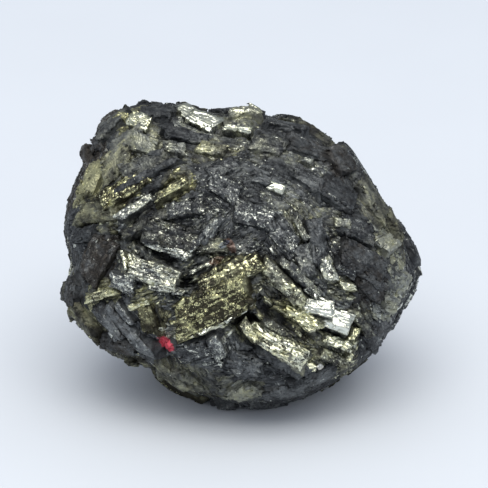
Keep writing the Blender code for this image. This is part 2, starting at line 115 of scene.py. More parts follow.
def rim_radius(angle):
    """Distance to the rim at each angle: straight interpolation between the rim's points."""
    rim = np.array(RIM)
    angles = np.arctan2(rim[:, 1], rim[:, 0])
    order = np.argsort(angles)
    return np.interp(angle, angles[order], np.hypot(*rim.T)[order], period=2 * math.pi)


def nodule_radius(directions):
    """Radius along unit directions: ((side / rim)^r + (out / depth)^r) to the power -1/r."""
    across, up, out = directions.T
    side = np.hypot(across, up)
    rim = rim_radius(np.arctan2(up, across))
    depth = np.where(out > 0, FRONT_DEPTH, BACK_DEPTH)
    return ((side / rim) ** ROUNDNESS + (np.abs(out) / depth) ** ROUNDNESS) ** (-1 / ROUNDNESS)


all_round = rim_radius(np.linspace(0, 2 * math.pi, 90))
print("rim radius from", all_round.min().round(1), "to", all_round.max().round(1), "mm")

# %% [markdown]
# ## Points and slopes of the nodule
#
# A crystal is set on the stone by one point and the direction that looks straight out of the
# surface there. Blender can read such a normal from a mesh, but the formula has no mesh. The
# radius is asked for at four places close around each point, and the cross product of the two
# short lines between them is the normal.

# %% The surface at a direction
SLOPE_STEP = 0.06
SLOPE_HELPER = (0.31, 0.27, 0.91)


def surface_at(directions):
    """Points and outward normals: the normal is the cross product of two short central differences."""
    directions = unit(np.atleast_2d(np.asarray(directions, float)))
    side = unit(np.cross(directions, SLOPE_HELPER))
    other = np.cross(directions, side)

    def point(moved):
        moved = unit(moved)
        return moved * nodule_radius(moved)[:, None]

    along = point(directions + SLOPE_STEP * side) - point(directions - SLOPE_STEP * side)
    beside = point(directions + SLOPE_STEP * other) - point(directions - SLOPE_STEP * other)
    normals = unit(np.cross(along, beside))
    normals *= np.sign((normals * directions).sum(1))[:, None]
    return point(directions), normals


print("foremost point:", surface_at(OUT)[0][0].round(2), "mm")

# %% [markdown]
# ## Places on the broad face
#
# The lists further down give each crystal's place as it shows in the picture, across and up. A
# close-up lens draws what is nearer to it larger, so the place on the stone lies a little nearer
# to the middle of the picture than it shows. The nodule's formula, solved for out, says how near.

# %% From the picture's plane to the stone
VIEW_DISTANCE = 300.0
AIM_ACROSS = 0.4
AIM_UP = 0.9
RIM_SHARE = 0.985


def front_over(across, up):
    """The front of the nodule over places on the broad face: its formula solved for out."""
    share = np.minimum(np.hypot(across, up) / rim_radius(np.arctan2(up, across)), RIM_SHARE)
    return FRONT_DEPTH * (1 - share ** ROUNDNESS) ** (1 / ROUNDNESS)


def direction_over(across, up):
    """Directions to the places that show at across and up in a close view of the broad face: a
    place nearer the lens shows larger, so it is drawn in to the aim by out over the distance."""
    across, up = np.atleast_1d(across).astype(float), np.atleast_1d(up).astype(float)
    nearer = 1 - front_over(across, up) / VIEW_DISTANCE
    across = AIM_ACROSS + (across - AIM_ACROSS) * nearer
    up = AIM_UP + (up - AIM_UP) * nearer
    return np.stack([across, up, front_over(across, up)], axis=1)


print("what shows at 10, 5 lies at", direction_over(10.0, 5.0)[0].round(2), "mm")

# %% [markdown]
# ## Wear
#
# A loose stone has been carried and rubbed. Whatever stands far out is worn down first, so its
# crystals end in one common skin and nothing sticks out like a spike. A Boolean cut would slice
# them off flat. Here whatever stands out too far keeps about a third of its extra height, and with
# it its broken look.

# %% The worn skin
MATRIX_INSET = 0.6
SKIN_AT_RIM = 0.25
SKIN_AT_FRONT = 2.0
WEAR_KEEPS = 0.3


def worn(points, allowance=0.0):
    """Points pulled back to the worn skin: what stands out beyond the nodule's radius plus a rise
    keeps only a share of its height. The rise grows from the rim to the middle of the broad face
    with the square of how far it looks out."""
    radius = np.linalg.norm(points, axis=1)
    directions = points / radius[:, None]
    facing = np.maximum(directions[:, 2], 0.0) ** 2
    rise = SKIN_AT_RIM + (SKIN_AT_FRONT - SKIN_AT_RIM) * facing + allowance
    limit = nodule_radius(directions) + rise
    beyond = np.maximum(radius - limit, 0.0)
    return directions * (radius - (1 - WEAR_KEEPS) * beyond)[:, None]


print("a point 20 mm out in front is worn to", worn(20.0 * OUT[None])[0, 2].round(2), "mm")

# %% [markdown]
# ## Random numbers for places
#
# The chips and steps of the stone are random, but the same place has to get the same numbers
# each time, whatever piece asks. A random generator can't do that, because it only knows what
# comes next. A hash can: it multiplies and shifts the bits of a place's whole-number coordinates
# until they look like noise.

# %% Hashed numbers
WORD = 2 ** 32
PLACE_FACTORS = (374761393, 668265263, 2246822519)
SEED_FACTOR = 3266489
STIRS = ((15, 2246822519), (13, 3266489917))
LAST_SHIFT = 16


def hashed(places, seed, count=3):
    """Random numbers from 0 to 1 for whole-number places: products and shifts that mix their bits."""
    x, y, z = (places[:, k].astype(np.uint32) * np.uint32(factor)
               for k, factor in enumerate(PLACE_FACTORS))
    mixed = x + y + z + np.uint32(seed * SEED_FACTOR % WORD)
    numbers = []
    for _ in range(count):
        for shift, factor in STIRS:
            mixed = (mixed ^ (mixed >> np.uint32(shift))) * np.uint32(factor)
        mixed = mixed ^ (mixed >> np.uint32(LAST_SHIFT))
        numbers.append(mixed / float(WORD))
    return np.stack(numbers, axis=1)


print("numbers of one place:", hashed(np.array([(1, 2, 3)]), 5).round(3))

# %% [markdown]
# ## Broken-stone noise
#
# Broken pyrite isn't wavy, it is stepped: small flat faces that meet at sharp edges. Smooth noise
# can't show that, so this helper divides space into cells around scattered seeds. All points of one
# cell share the same random numbers. Used as heights and tilts they give flat steps with abrupt
# edges, and used as colours they give single facets a tone of their own.

# %% Cells around scattered seeds
OWN_NUMBERS = 101


def cells(points, seed, count=4):
    """Nearest seed of a jittered grid one unit wide: the offset from it, its random numbers, and how
    much farther the second nearest seed is. The 27 cells around each point are searched."""
    base = np.floor(points).astype(np.int64)
    best = np.full(len(points), np.inf)
    second = np.full(len(points), np.inf)
    offset = np.zeros_like(points)
    chosen = base.copy()
    for shift in itertools.product((-1, 0, 1), repeat=3):
        cell = base + shift
        gap = points - cell - hashed(cell, seed)
        distance = (gap ** 2).sum(1)
        closer = distance < best
        second = np.where(closer, best, np.minimum(second, distance))
        best = np.where(closer, distance, best)
        offset[closer] = gap[closer]
        chosen[closer] = cell[closer]
    edge = np.sqrt(second) - np.sqrt(best)
    return offset, hashed(chosen, seed + OWN_NUMBERS, count), edge


def stepped(points, tilt, seed):
    """Flat, tilted steps in cells one unit wide: each has one level from -1 to 1, the height of its
    own slope at the point, one tone, and the distance to its edge."""
    offset, numbers, edge = cells(points, seed)
    level = numbers[:, 0] * 2 - 1
    slope = (numbers[:, 1:3] * 2 - 1) * tilt
    return level, (offset[:, :2] * slope).sum(1), numbers[:, 3], edge


test_points = np.random.default_rng(1).uniform(-10, 10, (1000, 3))
print("mean level of the steps:", stepped(test_points, 0.2, 5)[0].mean().round(3))

# %% [markdown]
# ## Where the crystals lie
#
# The large crystals of the broad face can be told apart in the photograph, so they are listed one
# by one: place, turn, length, width, rise and two tips. The lists repeat the solid's own slabs,
# ledges and hollows, value for value, so that each fine crystal covers its coarse one. Three more
# numbers are the finish of each: how clean its metal is, how brassy, and how pale its tarnish. A
# brass below zero stands for brown.

# %% Slabs
# Place in mm, turn in degrees, size and rise in mm, two tips in degrees, and the finish
Slab = namedtuple("Slab", "across up turn length width rise tip_right tip_up clean brass pale")
SLABS = (
    # Long bars that climb to the right over the upper left
    Slab(-11.4, 6.6, 28, 6.4, 1.9, 0.6, 4, 10, 0.46, 0.85, 0.45),
    Slab(-9.6, 7.7, 28, 7.4, 0.8, 0.5, 4, 4, 0.15, 0.0, 0.35),
    Slab(-10.4, 4.6, 31, 4.4, 0.95, 0.9, 0, 12, 0.56, 0.25, 0.7),
    Slab(-6.8, 6.4, 30, 3.8, 0.85, 0.9, 0, 12, 0.5, 0.8, 0.6),
    Slab(-9.2, 3.2, 27, 6.6, 1.0, 0.3, -4, 8, 0.2, 0.3, 0.3),
    Slab(-5.6, 4.5, 8, 3.6, 1.6, 0.4, 0, 6, 0.3, 0.15, 0.35),
    Slab(-6.8, 1.8, -15, 6.0, 2.6, 0.8, 6, 4, 0.28, 0.3, 0.12),
    Slab(-3.7, 1.8, 50, 4.4, 0.7, 0.7, -8, 6, 0.35, 0.1, 0.6),
    Slab(-2.7, 2.2, 52, 3.4, 0.6, 0.6, 10, 4, 0.3, 0.1, 0.5),
    Slab(-2.8, 0.7, 4, 3.0, 1.5, 0.5, 0, -6, 0.3, 0.5, 0.5),
    # Broad dull faces of the upper left shoulder
    Slab(-12.5, 9.0, 40, 3.8, 3.0, 0.5, 6, -4, 0.15, 0.55, 0.95),
    Slab(-11.3, 11.3, 32, 3.4, 2.2, 0.45, 0, 4, 0.12, 0.3, 0.65),
    Slab(-14.8, 7.6, 62, 4.6, 2.4, 0.55, 8, 0, 0.22, 0.85, 1.35),
    Slab(-14.5, 4.2, 6, 5.0, 2.2, 0.5, 4, 4, 0.2, 0.6, 0.6),
    Slab(-12.9, 13.0, 40, 4.0, 2.4, 0.5, 0, 0, 0.1, 0.2, 0.4),
    Slab(-9.6, 10.9, -14, 3.4, 1.8, 0.6, 0, -8, 0.3, 0.45, 1.2),
    Slab(-6.6, 10.6, -14, 2.2, 1.2, 0.5, 4, -4, 0.3, 0.3, 0.8),
    Slab(-5.4, 11.8, -10, 4.4, 1.4, 0.5, 4, -8, 0.15, 0.1, 0.35),
    Slab(-8.4, 14.2, 4, 4.4, 2.2, 0.5, 0, 2, 0.1, 0.0, 0.25),
    Slab(-9.6, 8.8, 20, 5.0, 2.2, 0.4, 0, -6, 0.2, 0.3, 0.55),
    Slab(-2.9, 10.6, -12, 2.8, 1.6, 0.5, 0, -4, 0.35, 0.6, 0.8),
    # Left flank: a leaning block and its neighbours
    Slab(-14.2, -0.6, 60, 5.2, 3.6, 0.7, 8, 6, 0.22, -0.5, 0.3),
    Slab(-15.8, 1.8, 12, 3.4, 1.6, 0.6, 4, 0, 0.15, -0.05, 0.3),
    Slab(-11.7, -3.0, -22, 2.6, 1.7, 0.8, 6, -4, 0.5, -0.1, 0.7),
    Slab(-11.4, -6.0, -50, 2.8, 0.9, 0.8, 4, 6, 0.3, 0.0, 0.55),
    Slab(-13.0, -7.0, -55, 4.4, 1.5, 0.7, 6, 6, 0.2, -0.2, 0.55),
    Slab(-11.0, -7.9, -50, 6.4, 1.2, 0.7, -6, 4, 0.22, -0.2, 0.62),
    Slab(-9.3, -9.9, -48, 6.2, 1.3, 0.7, 6, 2, 0.2, -0.2, 0.6),
    Slab(-12.2, -9.4, -12, 4.6, 2.0, 0.5, 0, -4, 0.15, -0.4, 0.35),
    Slab(-15.7, -6.9, -50, 4.8, 2.2, 0.6, 0, 4, 0.2, 0.6, 0.55),
    Slab(-17.0, -3.9, 80, 3.2, 2.0, 0.5, 0, 0, 0.1, -0.3, 0.35),
    Slab(-9.3, -6.4, -76, 2.6, 1.5, 0.8, 4, 4, 0.24, 0.8, 0.35),
    # The great rough lozenge in the middle and the slab behind it
    Slab(-2.8, -5.45, 26, 10.8, 4.9, 0.9, -2, -6, 0.44, 0.95, 0.18),
    Slab(-1.4, -1.9, 24, 7.4, 2.0, 0.9, -6, 10, 0.48, 0.8, 0.4),
    Slab(-4.6, -9.9, 10, 4.4, 2.4, 0.6, -4, -10, 0.25, 0.0, 0.5),
    Slab(-2.2, -9.4, -66, 2.8, 1.5, 0.9, 12, -4, 0.45, 0.1, 0.9),
    Slab(0.4, -11.0, -20, 3.6, 2.4, 0.6, -6, 6, 0.2, 0.0, 0.45),
    Slab(1.0, -12.1, 6, 3.4, 2.0, 0.6, 6, -4, 0.12, 0.1, 0.45),
    # Bars that fall to the right
    Slab(4.2, -3.0, -45, 5.8, 1.4, 1.0, -10, -4, 0.42, 0.5, 0.85),
    Slab(5.9, -2.3, -43, 5.2, 0.9, 0.9, 8, 4, 0.35, 0.3, 0.6),
    Slab(3.6, -7.5, -30, 2.4, 0.8, 0.4, 6, 10, 0.3, 0.4, 0.35),
    Slab(6.5, -0.6, -75, 3.2, 1.8, 0.6, -10, 0, 0.25, 0.2, 0.45),
    Slab(7.9, 0.9, -80, 4.4, 1.7, 0.5, 12, 0, 0.2, -0.1, 0.36),
    Slab(8.7, -1.5, -68, 2.8, 1.6, 0.8, -8, 6, 0.68, 0.35, 1.3),
    Slab(10.8, -1.6, -30, 2.6, 1.6, 0.6, 4, -4, 0.35, -0.1, 0.47),
    Slab(12.3, -0.8, -30, 6.0, 3.4, 0.5, 4, 4, 0.12, -0.3, 0.3),
    Slab(11.6, 2.6, -24, 4.2, 2.4, 0.4, -4, 6, 0.2, 0.1, 0.25),
    Slab(14.7, 1.1, 35, 2.8, 2.0, 0.6, -8, 16, 0.3, 0.4, 1.5),
    Slab(15.1, -5.1, -20, 2.2, 1.8, 0.6, -10, 14, 0.26, 0.35, 1.45),
    Slab(13.3, -3.2, -40, 4.8, 2.2, 0.5, 6, 0, 0.12, -0.4, 0.3),
    Slab(13.4, -8.6, -58, 4.4, 1.6, 0.5, 0, 6, 0.2, -0.2, 0.32),
    Slab(12.2, -7.2, -54, 4.6, 0.9, 0.6, -12, 0, 0.25, 0.4, 0.43),
    Slab(9.6, -10.6, -25, 4.6, 1.2, 0.6, 0, 10, 0.35, 0.5, 0.65),
    # Underside of the face
    Slab(-7.0, -12.2, -46, 5.4, 1.8, 0.6, 0, 4, 0.2, 0.5, 0.6),
    Slab(-5.0, -13.0, -40, 4.2, 1.8, 0.5, 6, 0, 0.15, 0.4, 0.5),
    Slab(0.4, -13.9, 22, 3.0, 2.0, 0.6, 0, 4, 0.2, 0.4, 1.0),
    Slab(7.6, -12.6, 24, 6.0, 2.2, 0.5, 0, 4, 0.12, -0.2, 0.4),
    Slab(4.2, -14.0, 10, 5.0, 2.2, 0.5, 0, 0, 0.12, -0.15, 0.5),
    Slab(4.6, -11.2, -34, 4.8, 2.0, 0.5, -6, -6, 0.12, -0.05, 0.5),
    # Low, worn crystals of the upper right
    Slab(7.0, 10.6, -24, 5.2, 2.6, 0.4, 0, 0, 0.12, -0.3, 0.33),
    Slab(3.0, 11.0, -12, 3.2, 2.0, 0.4, 6, -6, 0.25, 0.3, 0.63),
    Slab(10.2, 9.4, -48, 3.4, 2.6, 0.5, 0, 0, 0.1, -0.4, 0.29),
    Slab(6.8, 7.8, -30, 3.8, 2.0, 0.35, -6, 6, 0.2, 0.1, 0.45),
    Slab(10.0, 6.0, -36, 4.6, 2.8, 0.35, 6, 0, 0.12, -0.2, 0.29),
    Slab(13.4, 5.4, -58, 5.0, 2.6, 0.5, 0, 0, 0.12, 0.4, 0.45),
    Slab(12.2, 7.4, -60, 3.8, 1.8, 0.4, -8, 0, 0.12, 0.1, 0.39),
    Slab(15.6, 2.9, -64, 3.6, 1.8, 0.5, 6, 0, 0.12, 0.45, 0.45),
    Slab(4.6, 12.8, -12, 4.6, 1.4, 0.5, 0, 0, 0.15, -0.1, 0.37),
    # Fine mass in the middle
    Slab(-1.6, 6.6, -30, 3.4, 2.2, 0.35, -4, 0, 0.3, 0.0, 0.35),
    Slab(1.6, 3.8, -18, 4.4, 2.4, 0.35, 6, 0, 0.32, 0.0, 0.4),
    Slab(-1.8, 8.6, 22, 3.6, 1.8, 0.3, 0, -8, 0.25, 0.1, 0.5),
    Slab(3.0, 7.4, -20, 3.2, 1.6, 0.3, 0, 8, 0.2, 0.0, 0.45),
    Slab(4.6, 1.6, -56, 3.6, 2.2, 0.35, -6, 0, 0.3, 0.05, 0.4),
    Slab(0.6, 0.6, 26, 2.6, 1.8, 0.3, 0, 6, 0.3, 0.2, 0.5),
)
print(len(SLABS), "slabs")

# %% [markdown]
# The bright ledges come next. They are cleavage treads, small and clean, and their two leans say
# which way they face. The share is how much of that lean shows; the rest is the nodule's own slope.

# %% Ledges
Ledge = namedtuple("Ledge", "across up turn length width rise lean_right lean_up share clean brass pale")
LEDGES = (
    # Left: the bright lozenge, its two prisms and the small treads below
    Ledge(-8.9, -1.8, -18, 5.0, 2.0, 0.6, -12, 11, 0.35, 0.58, 0.35, 1.0),
    Ledge(-11.3, -0.9, -76, 2.0, 0.5, 0.72, -20, 15, 0.35, 0.84, 0.4, 1.0),
    Ledge(-10.6, -0.6, -70, 1.3, 0.4, 0.66, -20, 15, 0.35, 0.84, 0.4, 1.0),
    Ledge(-7.3, -3.6, -8, 3.4, 0.6, 0.53, -8, 17, 0.35, 0.6, 0.2, 0.8),
    Ledge(-13.8, -4.1, 18, 3.8, 0.9, 0.66, -22, 17, 0.35, 0.62, 0.7, 1.1),
    Ledge(-10.0, -5.1, 20, 2.2, 0.6, 0.78, -16, 21, 0.35, 0.75, 0.6, 1.0),
    Ledge(-7.2, 0.5, -20, 4.8, 0.9, 0.66, -4, 17, 0.35, 0.56, 0.2, 0.7),
    # The bright lower edge of the great lozenge, and the edge of the slab behind it
    Ledge(-5.3, -8.1, 6, 2.6, 0.4, 0.7, 0, 17, 0.35, 0.8, 0.4, 1.0),
    Ledge(-2.8, -7.3, 24, 3.4, 0.45, 0.75, 0, 17, 0.35, 0.85, 0.4, 1.0),
    Ledge(0.1, -5.8, 31, 3.4, 0.4, 0.75, 0, 15, 0.35, 0.9, 0.2, 1.0),
    Ledge(0.2, -2.3, 22, 4.0, 0.4, 0.78, 0, 17, 0.35, 0.8, 0.5, 1.0),
    Ledge(-3.9, -1.4, 26, 2.6, 0.35, 0.6, 0, 17, 0.35, 0.6, 0.4, 0.8),
    # Right: the lit blade, the white treads and the stairs
    Ledge(1.2, -7.7, -50, 2.8, 1.2, 0.75, 2, 15, 0.6, 0.6, 0.6, 0.9),
    Ledge(3.9, -9.1, -33, 6.8, 2.1, 0.8, 2, 18, 0.6, 0.72, 0.5, 1.0),
    Ledge(6.7, -6.6, -42, 3.2, 1.4, 0.66, 6, 16, 0.35, 0.84, 0.6, 1.0),
    Ledge(5.7, -6.0, -20, 1.8, 0.9, 0.53, 6, 9, 0.35, 0.65, 0.8, 1.0),
    Ledge(7.7, -5.2, -12, 4.2, 2.0, 0.4, 4, 20, 0.85, 1.0, 0.2, 1.0),
    Ledge(9.6, -6.5, -24, 2.9, 2.2, 0.45, 4, 20, 0.85, 1.0, 0.1, 1.0),
    Ledge(9.7, -8.8, -24, 3.2, 0.9, 0.66, 8, 15, 0.35, 0.8, 0.5, 1.0),
    Ledge(11.3, -8.0, 60, 1.3, 0.8, 0.66, 10, 13, 0.35, 0.74, 0.6, 1.0),
    Ledge(10.9, -10.2, 62, 1.1, 0.6, 0.6, 10, 11, 0.35, 0.8, 0.5, 1.0),
    Ledge(10.3, -10.9, 20, 1.0, 0.6, 0.53, 10, 13, 0.35, 0.65, 0.5, 0.9),
    Ledge(6.9, -11.2, -20, 1.6, 0.7, 0.53, 4, 13, 0.35, 0.74, 0.5, 1.0),
    Ledge(10.7, -3.2, -6, 1.6, 0.8, 0.72, 8, 15, 0.6, 0.95, 0.5, 1.0),
    Ledge(7.1, -3.6, -32, 1.6, 0.9, 0.66, 4, 13, 0.6, 0.8, 0.2, 1.0),
    # Top
    Ledge(-5.3, 14.2, -30, 2.5, 1.8, 0.53, -4, 24, 0.6, 1.0, 0.3, 1.0),
    Ledge(-3.5, 13.2, -24, 3.2, 1.8, 0.6, 2, 22, 0.6, 1.0, 0.3, 1.0),
    Ledge(0.0, 12.3, -8, 2.6, 0.7, 0.6, 0, 23, 0.6, 0.95, 0.4, 1.0),
    Ledge(0.4, 14.3, 4, 3.3, 1.3, 0.47, 0, 37, 0.35, 0.5, 0.5, 1.1),
    Ledge(1.2, 14.5, -10, 0.9, 0.6, 0.6, 0, 29, 0.6, 0.8, 0.4, 1.0),
    Ledge(-11.8, 13.6, -20, 1.7, 0.9, 0.53, -18, 19, 0.35, 0.45, 1.0, 1.0),
    Ledge(-10.1, 13.2, -25, 2.7, 1.6, 0.6, -14, 23, 0.6, 0.86, 0.5, 1.0),
    Ledge(3.6, 6.6, -22, 1.7, 0.9, 0.53, 4, 19, 0.6, 0.9, 0.3, 1.0),
    Ledge(6.1, 2.4, -60, 2.4, 0.6, 0.47, 6, 15, 0.35, 0.5, 0.4, 0.8),
    Ledge(6.8, 9.2, -10, 1.2, 0.6, 0.47, 10, 19, 0.35, 0.5, 0.3, 0.9),
    Ledge(10.3, 3.0, -8, 1.7, 1.0, 0.4, 4, 9, 0.35, 0.35, 0.4, 1.0),
)
print(len(LEDGES), "ledges")

# %% [markdown]
# Between some of the crystals a piece of the stone has broken out. These hollows are deep places
# whose colour is darkened by painted shade, and they make the ledges beside them stand out.

# %% Hollows
Hollow = namedtuple("Hollow", "across up turn length width depth")
HOLLOWS = (
    Hollow(-9.0, 0.9, -30, 5.0, 1.7, 2.0),
    Hollow(3.4, -6.4, -38, 4.4, 1.3, 1.1),
    Hollow(0.9, -7.8, -48, 4.2, 2.4, 1.6),
    Hollow(-9.4, 3.0, 24, 6.0, 0.8, 1.2),
    Hollow(-12.0, 1.9, 18, 3.4, 0.9, 1.0),
    Hollow(-6.0, -3.4, 30, 2.6, 1.2, 1.6),
    Hollow(9.3, -8.1, -18, 2.8, 0.9, 1.4),
    Hollow(12.2, 0.9, -20, 3.0, 0.8, 1.0),
    Hollow(-13.6, -7.6, -50, 2.6, 1.0, 1.2),
    Hollow(-1.6, 12.4, -12, 7.0, 0.8, 1.0),
    Hollow(-9.0, 6.2, 30, 6.8, 0.45, 0.9),
)
print(len(HOLLOWS), "hollows")

# %% [markdown]
# ## How one crystal lies on the stone
#
# On the real stone a slab lies on the mass under it, a little tipped, while the bright ledges are
# cleavage treads: wherever they sit, they share one level and flash together. Each crystal could
# be turned by hand with three angles. Here a slab takes the nodule's slope and two small tips, and
# a ledge turns from that slope part of the way to a direction that leans by two angles from the
# out direction, so its place on the face does most of the work.

# %% Directions of a crystal
EDGE_ON = 0.25


def tipped(normal, tip_right, tip_up):
    """The normal plus the tangents of two tips along its own right and rise directions."""
    right = unit(np.cross((0.0, 1.0, 0.0), normal))
    rise = np.cross(normal, right)
    return unit(normal + math.tan(math.radians(tip_right)) * right
                + math.tan(math.radians(tip_up)) * rise)


def leaned(lean_right, lean_up):
    """The out direction plus the tangents of two leans."""
    return unit(np.array((math.tan(math.radians(lean_right)), math.tan(math.radians(lean_up)), 1.0)))


def long_axis(normal, turn):
    """The direction in the plane of normal that shows at angle turn, seen along out."""
    shown = np.array((math.cos(math.radians(turn)), math.sin(math.radians(turn)), 0.0))
    depth = -(shown @ normal) / max(normal[2], EDGE_ON)
    axis = shown + depth * OUT
    return unit(axis - (axis @ normal) * normal)


print("a tread that leans up by 20 degrees faces", leaned(0, 20).round(2))

# %% [markdown]
# ## Setting the listed crystals
#
# A crystal is a block with a top, four walls and a root in the stone. Besides its size it has a
# skew, a taper and four chipped corners of its own, because no real block is a true box. These are
# drawn from one seeded generator in a fixed order, which gives the same blocks as in the solid. Its
# tread is the direction that its fine cleavage steps face. The cleanest ledges have flat treads,
# since a mirror that is cut into steps no longer flashes as one.

# %% The crystals of the lists
# How far the root goes down, the most skew, and the least and most taper
Kind = namedtuple("Kind", "sink skew taper")
SLAB_KIND = Kind(2.6, 0.45, (0.8, 0.96))
LEDGE_KIND = Kind(3.2, 0.4, (0.9, 1.0))
SEAT_INSET = MATRIX_INSET / 2
SLAB_TREAD = 17.0
SLAB_TEETH = 0.16
LEDGE_TEETH = 0.32
WHITE_METAL = 0.9
PLACING_SEED = 7

Crystal = namedtuple("Crystal", "top axes size skew taper chips tread teeth clean brass pale")


def crystal(top, normal, axis, size, kind, tread, teeth, finish, rng):
    """One crystal with its own skew, taper and corner chips drawn in that order."""
    skew = rng.uniform(-kind.skew, kind.skew)
    taper = rng.uniform(*kind.taper)
    chips = rng.uniform(-1, 1, (4, 2))
    axes = np.array([axis, np.cross(normal, axis), normal])
    return Crystal(top, axes, size, skew, taper, chips, tread, teeth, *finish)


def seat(item):
    """The nodule's point and slope at a listed place."""
    points, slopes = surface_at(direction_over(item.across, item.up))
    return points[0], slopes[0]


def listed_crystal(item, kind, normal, tread, teeth, rng):
    """A crystal of the lists: its top stands its rise above its seat, less the seat's inset."""
    point, slope = seat(item)
    top = point + slope * (item.rise - SEAT_INSET)
    size = (item.length, item.width, item.rise + kind.sink)
    return crystal(top, normal, long_axis(normal, item.turn), size, kind, tread, teeth, item[-3:], rng)


def slab_crystal(slab, rng):
    """A slab lies on the nodule's slope and tips from it by two angles."""
    normal = tipped(seat(slab)[1], slab.tip_right, slab.tip_up)
    return listed_crystal(slab, SLAB_KIND, normal, leaned(0, SLAB_TREAD), SLAB_TEETH, rng)


def ledge_crystal(ledge, rng):
    """A ledge turns from the slope by a share of the way to its leaned direction."""
    slope = seat(ledge)[1]
    level = leaned(ledge.lean_right, ledge.lean_up)
    normal = unit(slope + ledge.share * (level - slope))
    tread = normal if ledge.clean > WHITE_METAL else level
    return listed_crystal(ledge, LEDGE_KIND, normal, tread, LEDGE_TEETH * (1 + ledge.clean), rng)


placing = np.random.default_rng(PLACING_SEED)
face_crystals = [slab_crystal(slab, placing) for slab in SLABS]
face_crystals += [ledge_crystal(ledge, placing) for ledge in LEDGES]
print("crystals of the broad face:", len(face_crystals))

# %% [markdown]
# ## Families of the sides and back
#
# The photograph doesn't show the sides and the back. Pyrite grows there as it does in front, in
# bundles of parallel crystals, side by side at stepped heights. Listing them would be guesswork
# written out at length, so seeded numbers place them. Their centres are spread by the golden
# angle, which leaves no rows and no gaps.

# %% Directions all round
FAMILY_COUNT = 34
FRONT_LIMIT = 0.12


def golden_directions(count):
    """Unit directions with equal steps in height and the golden angle between neighbours."""
    numbers = np.arange(count) + 0.5
    out = 1 - 2 * numbers / count
    turn = numbers * math.pi * (3 - math.sqrt(5))
    side = np.sqrt(1 - out ** 2)
    return np.stack([side * np.cos(turn), side * np.sin(turn), out], axis=1)


family_centres = golden_directions(FAMILY_COUNT * 2)
family_centres = family_centres[family_centres[:, 2] < FRONT_LIMIT]
print("families:", len(family_centres))

# %% [markdown]
# ## The finish of a family
#
# Crystals of one family grew together, so they share a finish with a little scatter. About half the
# families are grey, a third lean to brass and the rest to brown, as on the broad face. A bent line
# turns an even random number into that mix, and one crystal in ten is cleaner than its neighbours.

# %% Finish of a family and of its crystals
PAINT_SEED = 5
FINISH_LOW = (0.10, 0.0, 0.28)
FINISH_HIGH = (0.32, 1.0, 0.58)
BRASS_DRAWN = (0, 0.15, 0.2, 0.6, 0.7, 1)
BRASS_GIVEN = (-0.5, -0.2, -0.1, 0.15, 0.4, 0.75)
FINISH_SCATTER = (0.05, 0.09, 0.09)
CLEANER_CHANCE = 0.1
CLEANER_BY = 0.4
PALE_AT_RIM = 0.72
PALE_TOWARDS_BACK = 0.4


def family_finish(paints):
    """Clean, brass and pale drawn evenly between two rows, with the brass read from a bent line."""
    finish = paints.uniform(FINISH_LOW, FINISH_HIGH)
    finish[1] = np.interp(finish[1], BRASS_DRAWN, BRASS_GIVEN)
    return finish


def member_finish(family, backward, paints):
    """The family's finish with some scatter, darker towards the rim by a share of backward."""
    finish = family + paints.normal(0, FINISH_SCATTER)
    finish[0] += CLEANER_BY * (paints.random() < CLEANER_CHANCE)
    finish[2] *= PALE_AT_RIM + PALE_TOWARDS_BACK * backward
    return finish


print("a family's finish:", family_finish(np.random.default_rng(PAINT_SEED)).round(2))

# %% [markdown]
# ## Laying a family
#
# Each crystal of a family begins where the one before it ends, shifted a little along the bundle
# and tipped by up to fourteen degrees, as stacked slabs are. Families near the rim rise less,
# because higher ones would change the outline that the photograph gives.

# %% Families of parallel crystals
FAMILY_MEMBERS = (3, 6)
FAMILY_GROWTH = (0.55, 1.5)
FAMILY_LENGTH = (3.4, 7.0)
FAMILY_WIDTH = (1.1, 2.6)
FAMILY_RISE = (0.5, 1.3)
RISE_AT_RIM = 0.45
FAMILY_TIP = 14.0
FAMILY_SHIFT = 1.6
FAMILY_KIND = Kind(SLAB_KIND.sink, 0.75, (0.74, 0.97))
FAMILY_SPREAD = 0.85
FAMILY_STRAY = 0.18
FAMILY_JITTER = 0.08
TREAD_TIPS = 2


def family_member(edge, axis, across, growth, family, rng, paints):
    """One crystal whose near long side starts at edge, on the nodule's own slope there."""
    length = growth * rng.uniform(*FAMILY_LENGTH)
    width = growth * rng.uniform(*FAMILY_WIDTH)
    shift = rng.uniform(-FAMILY_SHIFT, FAMILY_SHIFT)
    point, slope = (a[0] for a in surface_at(edge + axis * shift + across * width * 0.5))
    tip_right, tip_up = rng.uniform(-FAMILY_TIP, FAMILY_TIP, 2)
    normal = tipped(slope, tip_right, tip_up)
    way = axis + rng.uniform(-FAMILY_STRAY, FAMILY_STRAY) * across
    along = unit(way - (way @ normal) * normal)
    backward = abs(unit(point)[2])
    rise = rng.uniform(*FAMILY_RISE) * min(1, RISE_AT_RIM + backward)
    top = point + slope * (rise - MATRIX_INSET)
    size = (length, width, rise + FAMILY_KIND.sink)
    tread = tipped(normal, TREAD_TIPS * tip_right, TREAD_TIPS * tip_up)
    finish = member_finish(family, backward, paints)
    return crystal(top, normal, along, size, FAMILY_KIND, tread, SLAB_TEETH, finish, rng)


def family_crystals(rng):
    """All bundles: each crystal of a bundle starts where the one before it ends."""
    paints = np.random.default_rng(PAINT_SEED)
    made = []
    for centre in family_centres:
        middle, slope = (a[0] for a in surface_at(centre + rng.normal(0, FAMILY_JITTER, 3)))
        any_way = rng.normal(size=3)
        axis = unit(any_way - (any_way @ slope) * slope)
        across = np.cross(slope, axis)
        growth = rng.uniform(*FAMILY_GROWTH)
        members = int(rng.integers(*FAMILY_MEMBERS))
        offset = -members * FAMILY_SPREAD * growth
        family = family_finish(paints)
        for _ in range(members):
            edge = middle + across * offset
            made.append(family_member(edge, axis, across, growth, family, rng, paints))
            offset += made[-1].size[1]
    return made


